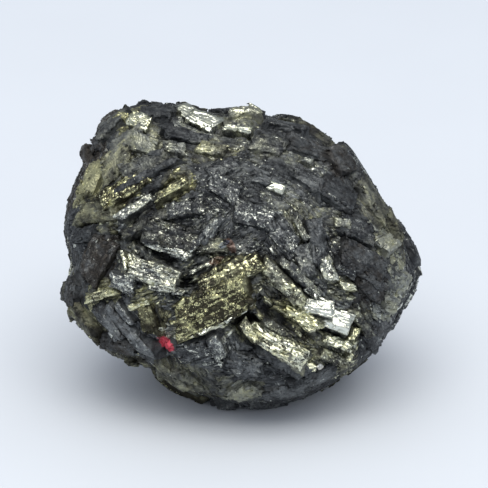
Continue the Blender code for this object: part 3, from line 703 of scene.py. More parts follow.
side_crystals = family_crystals(placing)
print("crystals of the sides and back:", len(side_crystals))

# %% [markdown]
# ## Where the stone is rough and where it is rubbed
#
# The middle of the broad face is sharp and fine. Its rim and its upper right are rubbed smooth, and
# over the lower left the crystals lie as long laths, side by side. Painted by hand, these areas
# would have to be painted again on every piece. Two short formulas of the place say the same, and
# every piece asks them for its roughness. They treat the middle of the back like that of the front.

# %% Calm and lath-like places
RIM_CALM = 0.33
FACING_GAIN = 1.5
FACING_FROM = 0.35
RUBBED_WAY = (0.45, 0.89, 0.0)
RUBBED_FROM = 5.0
RUBBED_REACH = 5.0
RUBBED_SHARE = 0.8
LATHS_WAY = (-0.45, -0.89, 0.0)
LATHS_FROM = 7.0
LATHS_REACH = 4.0


def at_least(least, share):
    """Least, plus the rest of the way to one times share."""
    return least + (1 - least) * share


def calm(points):
    """One in the middle of the broad face and of the back, falling to a third at the rim and
    towards the upper right, where the stone is rubbed smooth."""
    facing = np.clip(np.abs(unit(points)[:, 2]) * FACING_GAIN - FACING_FROM, 0, 1)
    rubbed = np.clip((points @ RUBBED_WAY - RUBBED_FROM) / RUBBED_REACH, 0, 1)
    return at_least(RIM_CALM, facing * (1 - RUBBED_SHARE * rubbed))


def inward_share(quiet):
    """Nothing where calm is at its rim value and one where it is one."""
    return (quiet - RIM_CALM) / (1 - RIM_CALM)


def lath_like(points):
    """One over the lower left and the underside of the broad face, where crystals are long and lie
    side by side, and nothing in the middle and above."""
    return np.clip((points @ LATHS_WAY - LATHS_FROM) / LATHS_REACH, 0, 1)


print("calm in front, at the left rim and at the upper right:",
      calm(np.array([(0.0, 0, 14), (-18, 0, 0), (6, 9, 8)])).round(2))

# %% [markdown]
# ## The net of one crystal
#
# A Subdivision Surface on a cube would round the block, and a grid for each side would leave seams.
# Here a crystal is closed by rings around its outline: up its walls, over a narrow worn edge and
# inward across the top until the two long sides meet. The bottom, down in the stone, is closed by
# a single ring.

# %% A closed net of rings
EDGE_WEAR = 0.09
WALL_RINGS = 8
FEWEST = 3
MERGE_DIGITS = 6


def net_triangles(rings, columns):
    """Two triangles for each square of a grid whose last column joins its first."""
    number = np.arange(rings * columns).reshape(rings, columns)
    here, right = number[:-1], np.roll(number, -1, axis=1)[:-1]
    above, across = number[1:], np.roll(number, -1, axis=1)[1:]
    return np.concatenate([np.stack([here, right, across], -1).reshape(-1, 3),
                           np.stack([here, across, above], -1).reshape(-1, 3)])


def closed_net(size, spacing):
    """Points (u, v, z) and triangles of a closed box net: u and v run from -1 to 1 over the outline
    and z from 0 at the top down to minus the depth. On top, rings of the outline are drawn inward
    by equal steps until they meet in a line. At the bottom they meet in one step."""
    length, width, depth = size
    along = max(FEWEST, int(math.ceil(length / spacing)) + 1)
    beside = max(FEWEST, int(math.ceil(width / spacing)) + 1)
    inward = np.linspace(EDGE_WEAR, width / 2, max(FEWEST, int(math.ceil(width / 2 / spacing)) + 1))
    down = EDGE_WEAR + (depth - EDGE_WEAR) * np.linspace(0, 1, WALL_RINGS) ** 2
    rings = [(width / 2, -depth)] + [(0.0, -z) for z in down[::-1]] + [(d, 0.0) for d in inward]
    long_run = np.linspace(-1, 1, along)[:-1]
    short_run = np.linspace(-1, 1, beside)[:-1]
    u = np.concatenate([long_run, np.ones(beside - 1), -long_run, -np.ones(beside - 1)])
    v = np.concatenate([-np.ones(along - 1), short_run, np.ones(along - 1), -short_run])
    ring = np.array(rings)
    u = u[None, :] * (1 - 2 * ring[:, :1] / length)
    v = v[None, :] * (1 - 2 * ring[:, :1] / width)
    z = np.broadcast_to(ring[:, 1:], u.shape)
    grid = np.round(np.stack([u, v, z], axis=-1), MERGE_DIGITS) + 0.0
    points, index = np.unique(grid.reshape(-1, 3), axis=0, return_inverse=True)
    triangles = index.reshape(-1)[net_triangles(*u.shape)]
    a, b, c = triangles.T
    return points, triangles[(a != b) & (b != c) & (c != a)]


test_net = closed_net((5.0, 1.5, 3.0), 0.2)
print("a net of", len(test_net[0]), "points and", len(test_net[1]), "triangles")

# %% [markdown]
# ## The skin of one crystal
#
# Chips and steps could be bump in the material, but then the outline would stay a clean box and the
# exported mesh would be bare. So the net itself is moved, in three steps. First it is stretched
# between the block's chipped corners, and its outline breaks into plates.

# %% The block and its broken outline
CORNER_CHIP = 0.1
OUTLINE_CELL = (0.9, 0.55, 0.28)
OUTLINE_SHIFT = (0.17, 0.13)
OUTLINE_REACH = 0.6
SEED_STRIDE = 1.7


def leaning_block(piece, net):
    """The net on its crystal: a blend of the four chipped corners by u and v, moved along by the
    skew times the place across, and narrowed from the full outline at the root to the taper on top."""
    length, width, depth = piece.size
    corner = np.array([(x, y) for x in (-0.5, 0.5) for y in (-0.5, 0.5)]) + CORNER_CHIP * piece.chips
    u, v = (net[:, 0:1] + 1) / 2, (net[:, 1:2] + 1) / 2
    flat = ((1 - u) * (1 - v) * corner[0] + (1 - u) * v * corner[1]
            + u * (1 - v) * corner[2] + u * v * corner[3])
    x, y = flat[:, 0] * length, flat[:, 1] * width
    narrow = piece.taper + (1 - piece.taper) * -net[:, 2] / depth
    return np.stack([(x + piece.skew * y) * narrow, y * narrow, net[:, 2]], axis=1)


def break_outline(place, inner, seed):
    """Each cell of the walls and the edge moves by its own random shift, less and less until
    OUTLINE_REACH inside the outline."""
    _, numbers, _ = cells(place / OUTLINE_CELL + seed * SEED_STRIDE, seed + 1)
    fade = np.clip(1 - inner[:, None] / OUTLINE_REACH, 0, 1)
    place[:, :2] += (numbers[:, :2] - 0.5) * 2 * OUTLINE_SHIFT * fade


print("outline cells of", OUTLINE_CELL, "mm shift by up to", OUTLINE_SHIFT, "mm")

# %% [markdown]
# Then the top is broken as cleavage breaks it. It lies in flat plates, which go down like stairs
# towards the outline, and within the plates narrow treads lean the way that the crystal's tread
# does. All of it still faces roughly one way, which is what makes a real crystal flash as a whole
# and glitter in detail. Clean crystals are smoother, because a bright face is an unbroken one.

# %% Plates, treads and stairs on the top
PLATE_CELL = (1.7, 0.42, 0.5)
PLATE_STEP = 0.085
PLATE_TILT = 0.14
SMALLER_PLATES = 2.3
SMALL_SEED = 4
STEP_SHARES = (1.0, 0.5)
LEAN_SHARES = (0.5, 0.2)
TOP_DEPTH = 0.4
STEEPEST_TREAD = 0.4
TREAD_SHIFTS = (0.9, 0.4)
STAIR_WIDTH = 0.42
STAIR_FROM = 1.1
STAIR_WANDER = 1.1
MOST_STAIRS = 2
STAIR_DROP = 0.26
STAIR_DROP_SHARE = 0.12
TEETH_AT_RIM = 0.4


def break_top(piece, place, inner, rough, broken, quiet, seed):
    """Moves the points of the top up and down: plates of two sizes, then a plane along the tread
    less its whole steps, then stairs. Returns the two tones of each point's plates."""
    width = piece.size[1]
    high = np.clip(1 + place[:, 2] / TOP_DEPTH, 0, 1)
    teeth = piece.teeth * at_least(TEETH_AT_RIM, quiet)
    level, lean, tone, _ = stepped(place / PLATE_CELL + seed, PLATE_TILT, seed)
    small, small_lean, small_tone, _ = stepped(place / PLATE_CELL * SMALLER_PLATES + seed,
                                               PLATE_TILT, seed + SMALL_SEED)
    step = STEP_SHARES[0] * level + STEP_SHARES[1] * small
    place[:, 2] += high * rough * (PLATE_STEP * step + LEAN_SHARES[0] * lean + LEAN_SHARES[1] * small_lean)
    tread = piece.axes @ piece.tread
    fall = place[:, :2] @ (tread[:2] / max(tread[2], STEEPEST_TREAD)) / teeth
    phase = 0.5 + fall + broken * (TREAD_SHIFTS[0] * level + TREAD_SHIFTS[1] * small)
    place[:, 2] += high * teeth * (0.5 - phase + np.floor(phase))
    near_edge = STAIR_FROM - inner / min(STAIR_WIDTH, width / 4) + broken * STAIR_WANDER * small
    stairs = np.clip(near_edge, 0, MOST_STAIRS).round()
    place[:, 2] -= high * stairs * min(STAIR_DROP, width * STAIR_DROP_SHARE)
    return tone, small_tone


print("plates of", PLATE_CELL[:2], "mm, steps of", PLATE_STEP, "mm, stairs of", STAIR_DROP, "mm")

# %% [markdown]
# Last, every point moves a few hundredths of a millimetre with its grain, and the crystal gets its
# place on the stone and its wear. Its finish goes with it: the walls get painted shade, less clean
# and darker than the top and more so towards the root, and each facet has its own tone.

# %% Grains, wear and finish
GRAIN_CELL = (0.5, 0.19, 0.19)
GRAIN_SHIFT = (0.035, 0.035, 0.035)
SMOOTH_SHARE = 0.8
ROUGH_AT_RIM = 0.3
WALL_FROM = 0.1
WALL_FADE = 0.35
CLEAN_IN_WALL_SHADE = 0.25
PALE_IN_WALL_SHADE = 0.6
TONE_SHARES = (0.45, 0.3, 0.25)
RUN_DOWN = 0.9


def crystal_skin(piece, spacing, seed):
    """Points in the face's directions, triangles, and one row of finish numbers per point: clean,
    brass, pale, tone and the run across the crystal in mm that its striations follow."""
    net, triangles = closed_net(piece.size, spacing)
    length, width, _ = piece.size
    quiet = float(calm(piece.top[None])[0])
    broken = 1 - SMOOTH_SHARE * piece.clean
    rough = broken * at_least(ROUGH_AT_RIM, quiet)
    place = leaning_block(piece, net)
    run = place[:, 1] + RUN_DOWN * place[:, 2] + seed
    inner = np.minimum((1 - np.abs(net[:, 0])) * length, (1 - np.abs(net[:, 1])) * width) / 2
    break_outline(place, inner, seed)
    tone, small_tone = break_top(piece, place, inner, rough, broken, quiet, seed)
    _, grains, _ = cells(place / GRAIN_CELL, seed + 2)
    place += (grains[:, :3] - 0.5) * 2 * rough * GRAIN_SHIFT
    points = worn(piece.top + place @ piece.axes)
    # Painted shade on the walls: clean and pale fall from the top down towards the root.
    top = np.exp(np.minimum(net[:, 2] + WALL_FROM, 0) / WALL_FADE)
    tones = np.stack([tone, small_tone, grains[:, 3]], axis=1) @ TONE_SHARES
    finish = np.stack([piece.clean * at_least(CLEAN_IN_WALL_SHADE, top), 0 * top + piece.brass,
                       piece.pale * at_least(PALE_IN_WALL_SHADE, top), tones, run], axis=1)
    return points, triangles, finish


test_skin = crystal_skin(face_crystals[0], 0.3, 1)
print("the first slab reaches", test_skin[0].max(0).round(1), "mm")

# %% [markdown]
# ## From arrays to Blender
#
# Blender takes a whole mesh in a few calls when the points and faces are plain arrays, which is far
# quicker than adding them one by one. The finish travels with the mesh as five numbers on each
# point: how clean, how brassy, how pale, the tone of the facet, and the run of its striations.
# Materials read them by name, so one material can colour every crystal differently.

# %% Arrays into a mesh object
FINISH = ("clean", "brass", "pale", "tone", "run")
SEED_STEP = 3


def mesh_object(name, points, triangles, finish):
    """An object at the origin whose mesh holds the points, turned from the face's directions to the
    room's: centre plus across, up and out parts. finish has one row of the named numbers per point."""
    world = (CENTRE + points @ AXES) * MM
    world[:, 2] = np.maximum(world[:, 2], 0.0)
    mesh = bpy.data.meshes.new(name)
    mesh.vertices.add(len(world))
    mesh.vertices.foreach_set("co", world.astype(np.float32).ravel())
    mesh.loops.add(triangles.size)
    mesh.loops.foreach_set("vertex_index", triangles.astype(np.int32).ravel())
    mesh.polygons.add(len(triangles))
    mesh.polygons.foreach_set("loop_start", np.arange(0, triangles.size, 3, dtype=np.int32))
    mesh.update(calc_edges=True)
    for column, label in enumerate(FINISH):
        layer = mesh.attributes.new(label, "FLOAT", "POINT")
        layer.data.foreach_set("value", np.ascontiguousarray(finish[:, column], dtype=np.float32))
    mesh.validate()
    made = bpy.data.objects.new(name, mesh)
    bpy.context.scene.collection.objects.link(made)
    print(f"{name}: {len(triangles)} triangles")
    return made


def joined_crystals(name, pieces, spacing, seed):
    """One object from many crystal skins: their arrays are laid end to end and renumbered."""
    skins = [crystal_skin(piece, spacing, seed + number * SEED_STEP) for number, piece in enumerate(pieces)]
    points, triangles, finishes = zip(*skins)
    starts = np.cumsum([0] + [len(part) for part in points[:-1]])
    renumbered = [part + start for part, start in zip(triangles, starts)]
    return mesh_object(name, np.concatenate(points), np.concatenate(renumbered), np.concatenate(finishes))


print("finish numbers on each point:", ", ".join(FINISH))

# %% [markdown]
# ## The large crystals
#
# Slabs, ledges and side crystals become one joined mesh each. The spacing of the net is how fine
# the broken steps can be. It is finest on the ledges, which catch the light, and coarsest on the
# sides, which the photograph doesn't show. Each mesh stays under 200,000 triangles.

# %% The crystals of the broad face and of the sides
SLAB_SPACING = 0.153
LEDGE_SPACING = 0.11
SIDE_SPACING = 0.32
SLAB_SEED = 11
LEDGE_SEED = 511
SIDE_SEED = 1011
face_slabs = joined_crystals("face_slabs", face_crystals[:len(SLABS)], SLAB_SPACING, SLAB_SEED)
face_ledges = joined_crystals("face_ledges", face_crystals[len(SLABS):], LEDGE_SPACING, LEDGE_SEED)
side_slabs = joined_crystals("side_crystals", side_crystals, SIDE_SPACING, SIDE_SEED)

# %% [markdown]
# ## The matrix between the crystals
#
# Between the large crystals lies a mass of fine ones. Its base is one closed surface that has to
# cover the whole stone. A UV sphere would crowd its points at two poles. A cube's faces, divided
# into squares and blown up to the nodule's radius, have no poles, and the points are then drawn
# together towards the broad face, where the detail is finest.

# %% Directions of the matrix
MATRIX_DIVISIONS = 116
SEAM_DIGITS = 9
FRONT_CROWDING = 0.34


def blown_cube(divisions):
    """Unit directions and triangles of a cube whose faces are cut at equal angles: each face is
    one fixed coordinate with the tangents of a run of angles as the other two."""
    run = np.tan(np.linspace(-math.pi / 4, math.pi / 4, divisions + 1))
    a, b = (g.ravel() for g in np.meshgrid(run, run, indexing="ij"))
    number = np.arange((divisions + 1) ** 2).reshape(divisions + 1, divisions + 1)
    here, right = number[:-1, :-1].ravel(), number[1:, :-1].ravel()
    above, across = number[:-1, 1:].ravel(), number[1:, 1:].ravel()
    patch = np.concatenate([np.stack([here, right, across], -1), np.stack([here, across, above], -1)])
    points, triangles = [], []
    for axis, side in itertools.product(range(3), (-1.0, 1.0)):
        face = np.empty((len(a), 3))
        face[:, axis] = side
        face[:, (axis + 1) % 3] = a
        face[:, (axis + 2) % 3] = b
        points.append(face)
        turned = patch if side > 0 else patch[:, ::-1]
        triangles.append(turned + len(a) * len(triangles))
    points = np.round(unit(np.concatenate(points)), SEAM_DIGITS) + 0.0
    points, index = np.unique(points, axis=0, return_inverse=True)
    return unit(points), index.reshape(-1)[np.concatenate(triangles)]


def crowd_to_front(directions, share):
    """The angle from the out direction is lessened by share times its own sine."""
    angle = np.arccos(np.clip(directions[:, 2], -1, 1))
    turn = np.arctan2(directions[:, 1], directions[:, 0])
    angle = angle - share * np.sin(angle)
    return np.stack([np.sin(angle) * np.cos(turn), np.sin(angle) * np.sin(turn), np.cos(angle)], axis=1)


matrix_ways, matrix_triangles = blown_cube(MATRIX_DIVISIONS)
matrix_ways = crowd_to_front(matrix_ways, FRONT_CROWDING)
print("directions of the matrix:", len(matrix_ways))

# %% [markdown]
# ## Owners and hollows
#
# Where crystals of one family grew, the fine steps around them run the same way. So each point of
# the matrix, and later each splinter, belongs to its nearest large crystal and takes its directions
# and its finish. The hollows between the crystals are pressed in by a formula, because a cut would
# leave a sharp rim that broken stone doesn't have.

# %% The nearest crystal and the depth of the hollows
MOST_CLEAN = 0.35
HOLLOW_NEAR = 3.0
HOLLOW_RIM = 1.25
HOLLOW_FADE = 0.4

all_crystals = face_crystals + side_crystals
crystal_tops = np.array([piece.top for piece in all_crystals])
crystal_axes = np.array([piece.axes for piece in all_crystals])
crystal_finish = np.array([(min(piece.clean, MOST_CLEAN), piece.brass, piece.pale)
                           for piece in all_crystals])


def nearest_crystal(points):
    """Index of the crystal whose top centre is nearest, from squared lengths and dot products."""
    gaps = (crystal_tops ** 2).sum(1)[None, :] - 2 * points @ crystal_tops.T
    return gaps.argmin(1)


def hollow_depth(points):
    """How far each point is pressed in: the depth of each hollow, falling to nothing over its rim."""
    deep = np.zeros(len(points))
    for hollow in HOLLOWS:
        centre, slope = seat(hollow)
        axis = long_axis(slope, hollow.turn)
        local = np.abs((points - centre) @ np.array([axis, np.cross(slope, axis), slope]).T)
        reach = np.maximum(local[:, 0] / (hollow.length / 2), local[:, 1] / (hollow.width / 2))
        share = np.clip((HOLLOW_RIM - reach) / HOLLOW_FADE, 0, 1) * (local[:, 2] < HOLLOW_NEAR)
        deep = np.maximum(deep, hollow.depth * share)
    return deep


print("crystals that own the fine mass:", len(np.unique(nearest_crystal(surface_at(matrix_ways)[0]))))

# %% [markdown]
# ## The surface of the matrix
#
# Three sizes of flat steps lie over each other, long the way the owner crystal is long, and the
# largest have crevices between them, sunk in and coloured darker as painted shade. A displacement
# modifier could raise steps from a texture, but they would all run one way. Towards the rim the
# bumps are much lower and the pits a little.

# %% The matrix surface
MATRIX_SEED = 31
MATRIX_STEPS_MM = ((1.7, 0.7, 0.7), (0.75, 0.3, 0.3), (0.32, 0.16, 0.16))
MATRIX_HEIGHTS = (0.26, 0.14, 0.05)
MATRIX_SLOPES = (0.30, 0.22, 0.0)
OWNER_STRIDE = 7.31
CREVICE_DEPTH = 0.22
CREVICE_WIDTH = 0.12
BUMPS_AT_RIM = 0.1
PITS_AT_RIM = 0.6
MATRIX_CLEAN = 0.55
MATRIX_BRASS = 0.6
MATRIX_PALE = 0.85
CREVICE_PAINTED_SHADE = 0.35
MOST_PALE = 0.6


def matrix_steps(local):
    """Height, tone and crevice share of points in their owners' directions: steps of three sizes
    added up, and a narrow bell over the edges of the largest."""
    height, tone = np.zeros(len(local)), np.zeros(len(local))
    for level, size in enumerate(MATRIX_STEPS_MM):
        step, lean, number, edge = stepped(local / size, MATRIX_SLOPES[level], MATRIX_SEED + level)
        height += MATRIX_HEIGHTS[level] * step + lean * size[1]
        tone += number / len(MATRIX_STEPS_MM)
        if level == 0:
            crevice = np.exp(-(edge * size[1] / CREVICE_WIDTH) ** 2)
    return height - CREVICE_DEPTH * crevice, tone, crevice


def matrix_surface(directions):
    """Points of the matrix: the nodule drawn in, pressed into hollows and broken into steps that
    follow the nearest crystal. Returns points and their finish."""
    points, normals = surface_at(directions)
    near = nearest_crystal(points)
    local = np.einsum("nij,nj->ni", crystal_axes[near], points) + near[:, None] * OWNER_STRIDE
    height, tone, crevice = matrix_steps(local)
    quiet = calm(points)
    height = (np.maximum(height, 0) * at_least(BUMPS_AT_RIM, quiet)
              + np.minimum(height, 0) * at_least(PITS_AT_RIM, quiet))
    deep = hollow_depth(points)
    moved = points + normals * (height - MATRIX_INSET - deep)[:, None]
    # Painted shade: crevices and hollows darken the pale and take away the clean.
    shade = np.clip(crevice + deep, 0, 1)
    clean, brass, pale = crystal_finish[near].T
    pale = np.minimum(pale, MOST_PALE) * (MATRIX_PALE - CREVICE_PAINTED_SHADE * shade)
    finish = np.stack([clean * MATRIX_CLEAN * (1 - shade), brass * MATRIX_BRASS, pale, tone,
                       local[:, 1] + RUN_DOWN * local[:, 2]], axis=1)
    return worn(moved), finish


matrix_points, matrix_finish = matrix_surface(matrix_ways)
matrix = mesh_object("fine_matrix", matrix_points, matrix_triangles, matrix_finish)

# %% [markdown]
# ## Small blocks, all at once
#
# The eye reads the stone as fine because thousands of small crystals poke out of it at slightly
# different angles. A particle system would copy one block many times, all alike, and a model that
# is handed on loses them. Here each is a block of its own with twelve triangles, and all of them
# are worked out together as one array of corners.

# %% Frames and corners of many blocks
BLOCK_CORNERS = np.array([(-1, -1, -1), (1, -1, -1), (1, 1, -1), (-1, 1, -1),
                          (-1, -1, 0), (1, -1, 0), (1, 1, 0), (-1, 1, 0)], float)
CORNERS = len(BLOCK_CORNERS)
BLOCK_TRIANGLES = np.array([(0, 2, 1), (0, 3, 2), (4, 5, 6), (4, 6, 7), (0, 1, 5), (0, 5, 4),
                            (1, 2, 6), (1, 6, 5), (2, 3, 7), (2, 7, 6), (3, 0, 4), (3, 4, 7)])
BLOCK_SKEW = 0.5
BLOCK_TAPER = (0.55, 0.95)
BLOCK_CHIP = 0.08
BLOCK_DROP = 0.12


def turned_axes(normals, along, turn, tips):
    """Frames (length, width, normal): along is turned about the normal by turn, and the normal is
    tipped along both by the tangents of the two tips."""
    first = unit(along - (along * normals).sum(1, keepdims=True) * normals)
    second = np.cross(normals, first)
    first, second = (first * np.cos(turn)[:, None] + second * np.sin(turn)[:, None],
                     second * np.cos(turn)[:, None] - first * np.sin(turn)[:, None])
    normal = unit(normals + np.tan(tips[0])[:, None] * first + np.tan(tips[1])[:, None] * second)
    first = unit(first - (first * normal).sum(1, keepdims=True) * normal)
    return np.stack([first, np.cross(normal, first), normal], axis=1)


def blocks(tops, axes, sizes, rng, skin):
    """Corners and triangles of many blocks at once: eight corners each, half a length, half a width
    and a depth away from the top, skewed, narrowed to the top, with each corner knocked a little."""
    count = len(tops)
    corners = np.tile(BLOCK_CORNERS, (count, 1, 1))
    corners[:, :, :2] *= 0.5
    corners[:, :, 0] += rng.uniform(-BLOCK_SKEW, BLOCK_SKEW, (count, 1)) * corners[:, :, 1]
    corners[:, 4:, :2] *= rng.uniform(*BLOCK_TAPER, (count, 1, 1))
    corners[:, :, :2] += rng.uniform(-BLOCK_CHIP, BLOCK_CHIP, (count, CORNERS, 2))
    corners[:, 4:, 2] -= rng.uniform(0, BLOCK_DROP, (count, 4)) * (sizes[:, 1] / sizes[:, 2])[:, None]
    places = tops[:, None] + np.einsum("nki,nij->nkj", corners * sizes[:, None], axes)
    triangles = BLOCK_TRIANGLES[None] + CORNERS * np.arange(count)[:, None, None]
    return worn(places.reshape(-1, 3), skin), triangles.reshape(-1, 3)


print("a block has", CORNERS, "corners and", len(BLOCK_TRIANGLES), "triangles")

# %% [markdown]
# ## The finish of a small block
#
# A splinter is the same crystal as its owner, seen at another angle. It takes the owner's finish
# with some scatter, and a few in the sharp areas are cleaner and glint. Those down in a hollow get
# painted shade: they are less clean and darker.

# %% Finish rows of blocks
OWNER_SHARES = (0.85, 1.0, 0.8)
GLINT_CHANCE = 0.07
GLINT_BY = 0.3
CLEAN_SCATTER = 0.1
HUE_SCATTER = 0.08
PALEST = 1.2
HOLLOW_PAINTED_SHADE = 0.5
RUN_RANGE = 50
RUN_ACROSS = 0.2


def block_finish(owners, deep, quiet, rng):
    """Finish rows for blocks, one for each corner: the owner crystal's values with some scatter."""
    count = len(owners)
    clean, brass, pale = (crystal_finish[owners] * OWNER_SHARES).T
    glints = quiet * (rng.random(count) < GLINT_CHANCE)
    clean = np.clip(clean + rng.normal(0, CLEAN_SCATTER, count) + GLINT_BY * glints, 0, 1)
    # Painted shade: blocks down in a hollow lose clean and pale by its depth.
    clean = clean * np.clip(1 - deep, 0, 1)
    brass = np.clip(brass + rng.normal(0, HUE_SCATTER, count), -1, 1)
    pale = np.clip(pale + rng.normal(0, HUE_SCATTER, count), 0, PALEST)
    pale = pale * np.clip(1 - HOLLOW_PAINTED_SHADE * deep, 0, 1)
    rows = np.stack([clean, brass, pale, rng.random(count), rng.uniform(0, RUN_RANGE, count)], axis=1)
    rows = np.repeat(rows, CORNERS, axis=0)
    rows[:, 4] += np.tile(BLOCK_CORNERS[:, 1] * RUN_ACROSS, count)
    return rows


print("where the stone is sharp one splinter in", round(1 / GLINT_CHANCE), "glints")

# %% [markdown]
# ## Splinters
#
# The splinters are set in the matrix by the golden angle with some scatter, turned like their
# owner with some scatter too. Towards the rim they are broader, lower and lie flatter, as the
# rubbed stone there shows no single points. Over the lower left they stretch into laths.

# %% Splinters on the matrix
SPLINTER_LENGTH = 0.66
SPLINTER_SPREAD = 0.4
SPLINTER_SLIM = (0.16, 0.42)
SPLINTER_RISE = (-0.25, 0.27)
SPLINTER_SINK = 0.6
SPLINTER_TURN = 13.0
SPLINTER_TIP = 13.0
SPLINTER_LIFT = 0.22
SPLINTER_SKIN = 0.08
LONGER_WHERE_CALM = 0.35
BROADER_AT_RIM = 0.8
LATHS_AT_RIM = 0.3
LATHS_LONGER = 1.2
LATHS_STRAIGHTER = 0.6
SPLINTER_RISE_AT_RIM = 0.3
SPLINTER_TIP_AT_RIM = 0.45


def splinters(name, directions, smaller, rng):
    """Blocks of random size over the given directions, set in the matrix."""
    count = len(directions)
    points, normals = surface_at(directions)
    near = nearest_crystal(points)
    quiet = calm(points)
    inward = inward_share(quiet)
    laths = lath_like(points) * at_least(LATHS_AT_RIM, inward)
    straighter = 1 - LATHS_STRAIGHTER * laths
    length = SPLINTER_LENGTH * smaller * np.exp(rng.normal(0, SPLINTER_SPREAD, count))
    length = length * (1 + LONGER_WHERE_CALM * (1 - quiet))
    width = length * rng.uniform(*SPLINTER_SLIM, count) * (1 + BROADER_AT_RIM * (1 - inward))
    length = length * (1 + LATHS_LONGER * laths)
    rise = rng.uniform(*SPLINTER_RISE, count) * smaller * at_least(SPLINTER_RISE_AT_RIM, inward)
    tips = np.radians(rng.normal(0, SPLINTER_TIP, (2, count)))
    tips = tips * at_least(SPLINTER_TIP_AT_RIM, inward) * straighter
    turn = np.radians(rng.normal(0, SPLINTER_TURN, count)) * straighter
    facing = unit(normals + SPLINTER_LIFT * quiet[:, None] * (0.0, 1.0, 0.0))
    axes = turned_axes(facing, crystal_axes[near, 0], turn, tips)
    deep = hollow_depth(points)
    tops = points + normals * (rise - MATRIX_INSET - deep)[:, None]
    sizes = np.stack([length, width, np.full(count, SPLINTER_SINK)], axis=1)
    places, triangles = blocks(tops, axes, sizes, rng, SPLINTER_SKIN)
    return mesh_object(name, places, triangles, block_finish(near, deep, quiet, rng))


print("a usual splinter is", SPLINTER_LENGTH, "mm long")

# %% [markdown]
# Three lots of them cover the stone: small ones in front, larger ones at the sides and back, and
# the smallest, called needles here, in the fine mass at the middle of the broad face, where the
# photograph is sharpest.

# %% Three lots of splinters
SCATTER_SEED = 21
WAY_SCATTER = 0.02
FRONT_SPLINTERS = 14000
FRONT_FROM = -0.05
FRONT_SMALLER = 0.85
SIDE_SPLINTERS = 9000
SIDE_UNTIL = -0.02
SIDE_SMALLER = 1.0
NEEDLES = 5200
NEEDLE_SMALLER = 0.42
NEEDLE_PLACE = (0.3, 4.0)
NEEDLE_SCATTER = (3.1, 2.3)

scatter = np.random.default_rng(SCATTER_SEED)
front = golden_directions(FRONT_SPLINTERS * 2)
front = front[front[:, 2] > FRONT_FROM]
front = unit(front + scatter.normal(0, WAY_SCATTER, front.shape))
front_splinters = splinters("front_splinters", front, FRONT_SMALLER, scatter)
side = golden_directions(SIDE_SPLINTERS * 2)
side = side[side[:, 2] <= SIDE_UNTIL]
side = unit(side + scatter.normal(0, WAY_SCATTER, side.shape))
side_splinters = splinters("side_splinters", side, SIDE_SMALLER, scatter)
spots = scatter.normal(0, 1, (NEEDLES, 2)) * NEEDLE_SCATTER + NEEDLE_PLACE
centre_needles = splinters("centre_needles", direction_over(*spots.T), NEEDLE_SMALLER, scatter)

# %% [markdown]
# ## Flakes on the large crystals
#
# A large face isn't bare either. Thin flakes of the same crystal lie on it, parallel to it and
# stepped by a tenth of a millimetre, where layers of the face have broken away. They use the same
# blocks as the splinters do, on the broad face and on the sides. A clean face has few or none,
# and near the rim they are flatter and keep away from the crystal's edge, so none overhangs it.

# %% Flakes on the faces
FLAKES_PER_MM2 = 2.6
SIDE_FLAKES_PER_MM2 = 1.6
FLAKES_UNTIL = 1.2
FLAKES_FALL = 1.3
FLAKE_LENGTH = (0.25, 1.1)
FLAKE_SLIM = (0.25, 0.7)
FLAKE_SINK = 0.3
FLAKE_RISE = (-0.04, 0.11)
FLAKE_TURN = 12.0
FLAKE_TIP = 5.0
FLAKE_SKIN = 0.05
FULL_LENGTH_FROM = 4
FLAKE_REACH_AT_RIM = 0.75
FLAKE_REACH_INWARD = 0.17
FLAKE_RISE_AT_RIM = 0.4
FLAKE_LENGTH_AT_RIM = 0.8


def flakes_on(name, pieces, first, per_mm2, rng):
    """Thin blocks scattered over the tops of the large crystals, lying the way each one lies. The
    pieces begin at place first of all crystals."""
    sizes = np.array([piece.size for piece in pieces])
    tarnished = np.clip([FLAKES_UNTIL - FLAKES_FALL * piece.clean for piece in pieces], 0, 1)
    counts = np.round(sizes[:, 0] * sizes[:, 1] * per_mm2 * tarnished).astype(int)
    owner = np.repeat(np.arange(len(pieces)), counts)
    count = len(owner)
    columns = zip(*((piece.size, piece.taper, piece.axes, piece.top) for piece in pieces))
    sizes, tapers, frames, tops = (np.array(column)[owner] for column in columns)
    inward = inward_share(calm(tops))
    reach = tapers * (FLAKE_REACH_AT_RIM + FLAKE_REACH_INWARD * inward)
    place = rng.uniform(-0.5, 0.5, (count, 2)) * sizes[:, :2] * reach[:, None]
    rise = rng.uniform(*FLAKE_RISE, (count, 1)) * at_least(FLAKE_RISE_AT_RIM, inward)[:, None]
    tops = tops + np.einsum("ni,nij->nj", np.concatenate([place, rise], axis=1), frames)
    length = rng.uniform(*FLAKE_LENGTH, count) * np.minimum(1, sizes[:, 0] / FULL_LENGTH_FROM)
    length = length * at_least(FLAKE_LENGTH_AT_RIM, inward)
    width = length * rng.uniform(*FLAKE_SLIM, count)
    flake_sizes = np.stack([length, width, np.full(count, FLAKE_SINK)], axis=1)
    tips = np.radians(rng.normal(0, FLAKE_TIP, (2, count)))
    turn = np.radians(rng.normal(0, FLAKE_TURN, count))
    axes = turned_axes(frames[:, 2], frames[:, 0], turn, tips)
    places, triangles = blocks(tops, axes, flake_sizes, rng, FLAKE_SKIN)
    return mesh_object(name, places, triangles, block_finish(owner + first, 0 * length, calm(tops), rng))


flakes = flakes_on("face_flakes", face_crystals, 0, FLAKES_PER_MM2, scatter)
side_flakes = flakes_on("side_flakes", side_crystals, len(face_crystals), SIDE_FLAKES_PER_MM2, scatter)

# %% [markdown]
# ## The finish, as shared effects
#
# Two things colour the stone. Tarnish is a thin dark film, blue-black where it is thick and brown
# or olive where it is thin. Bare metal is silvery to brassy. The mix of the two changes from facet
# to facet and again in fine specks. An image painted on the mesh would need a flat layout of
# thousands of facets. Noises on Object coordinates need none, and all pieces share them, so each
# effect is one node group. A group only mixes colours and numbers; the shader stays in the
# material. These helpers keep the building of groups short.

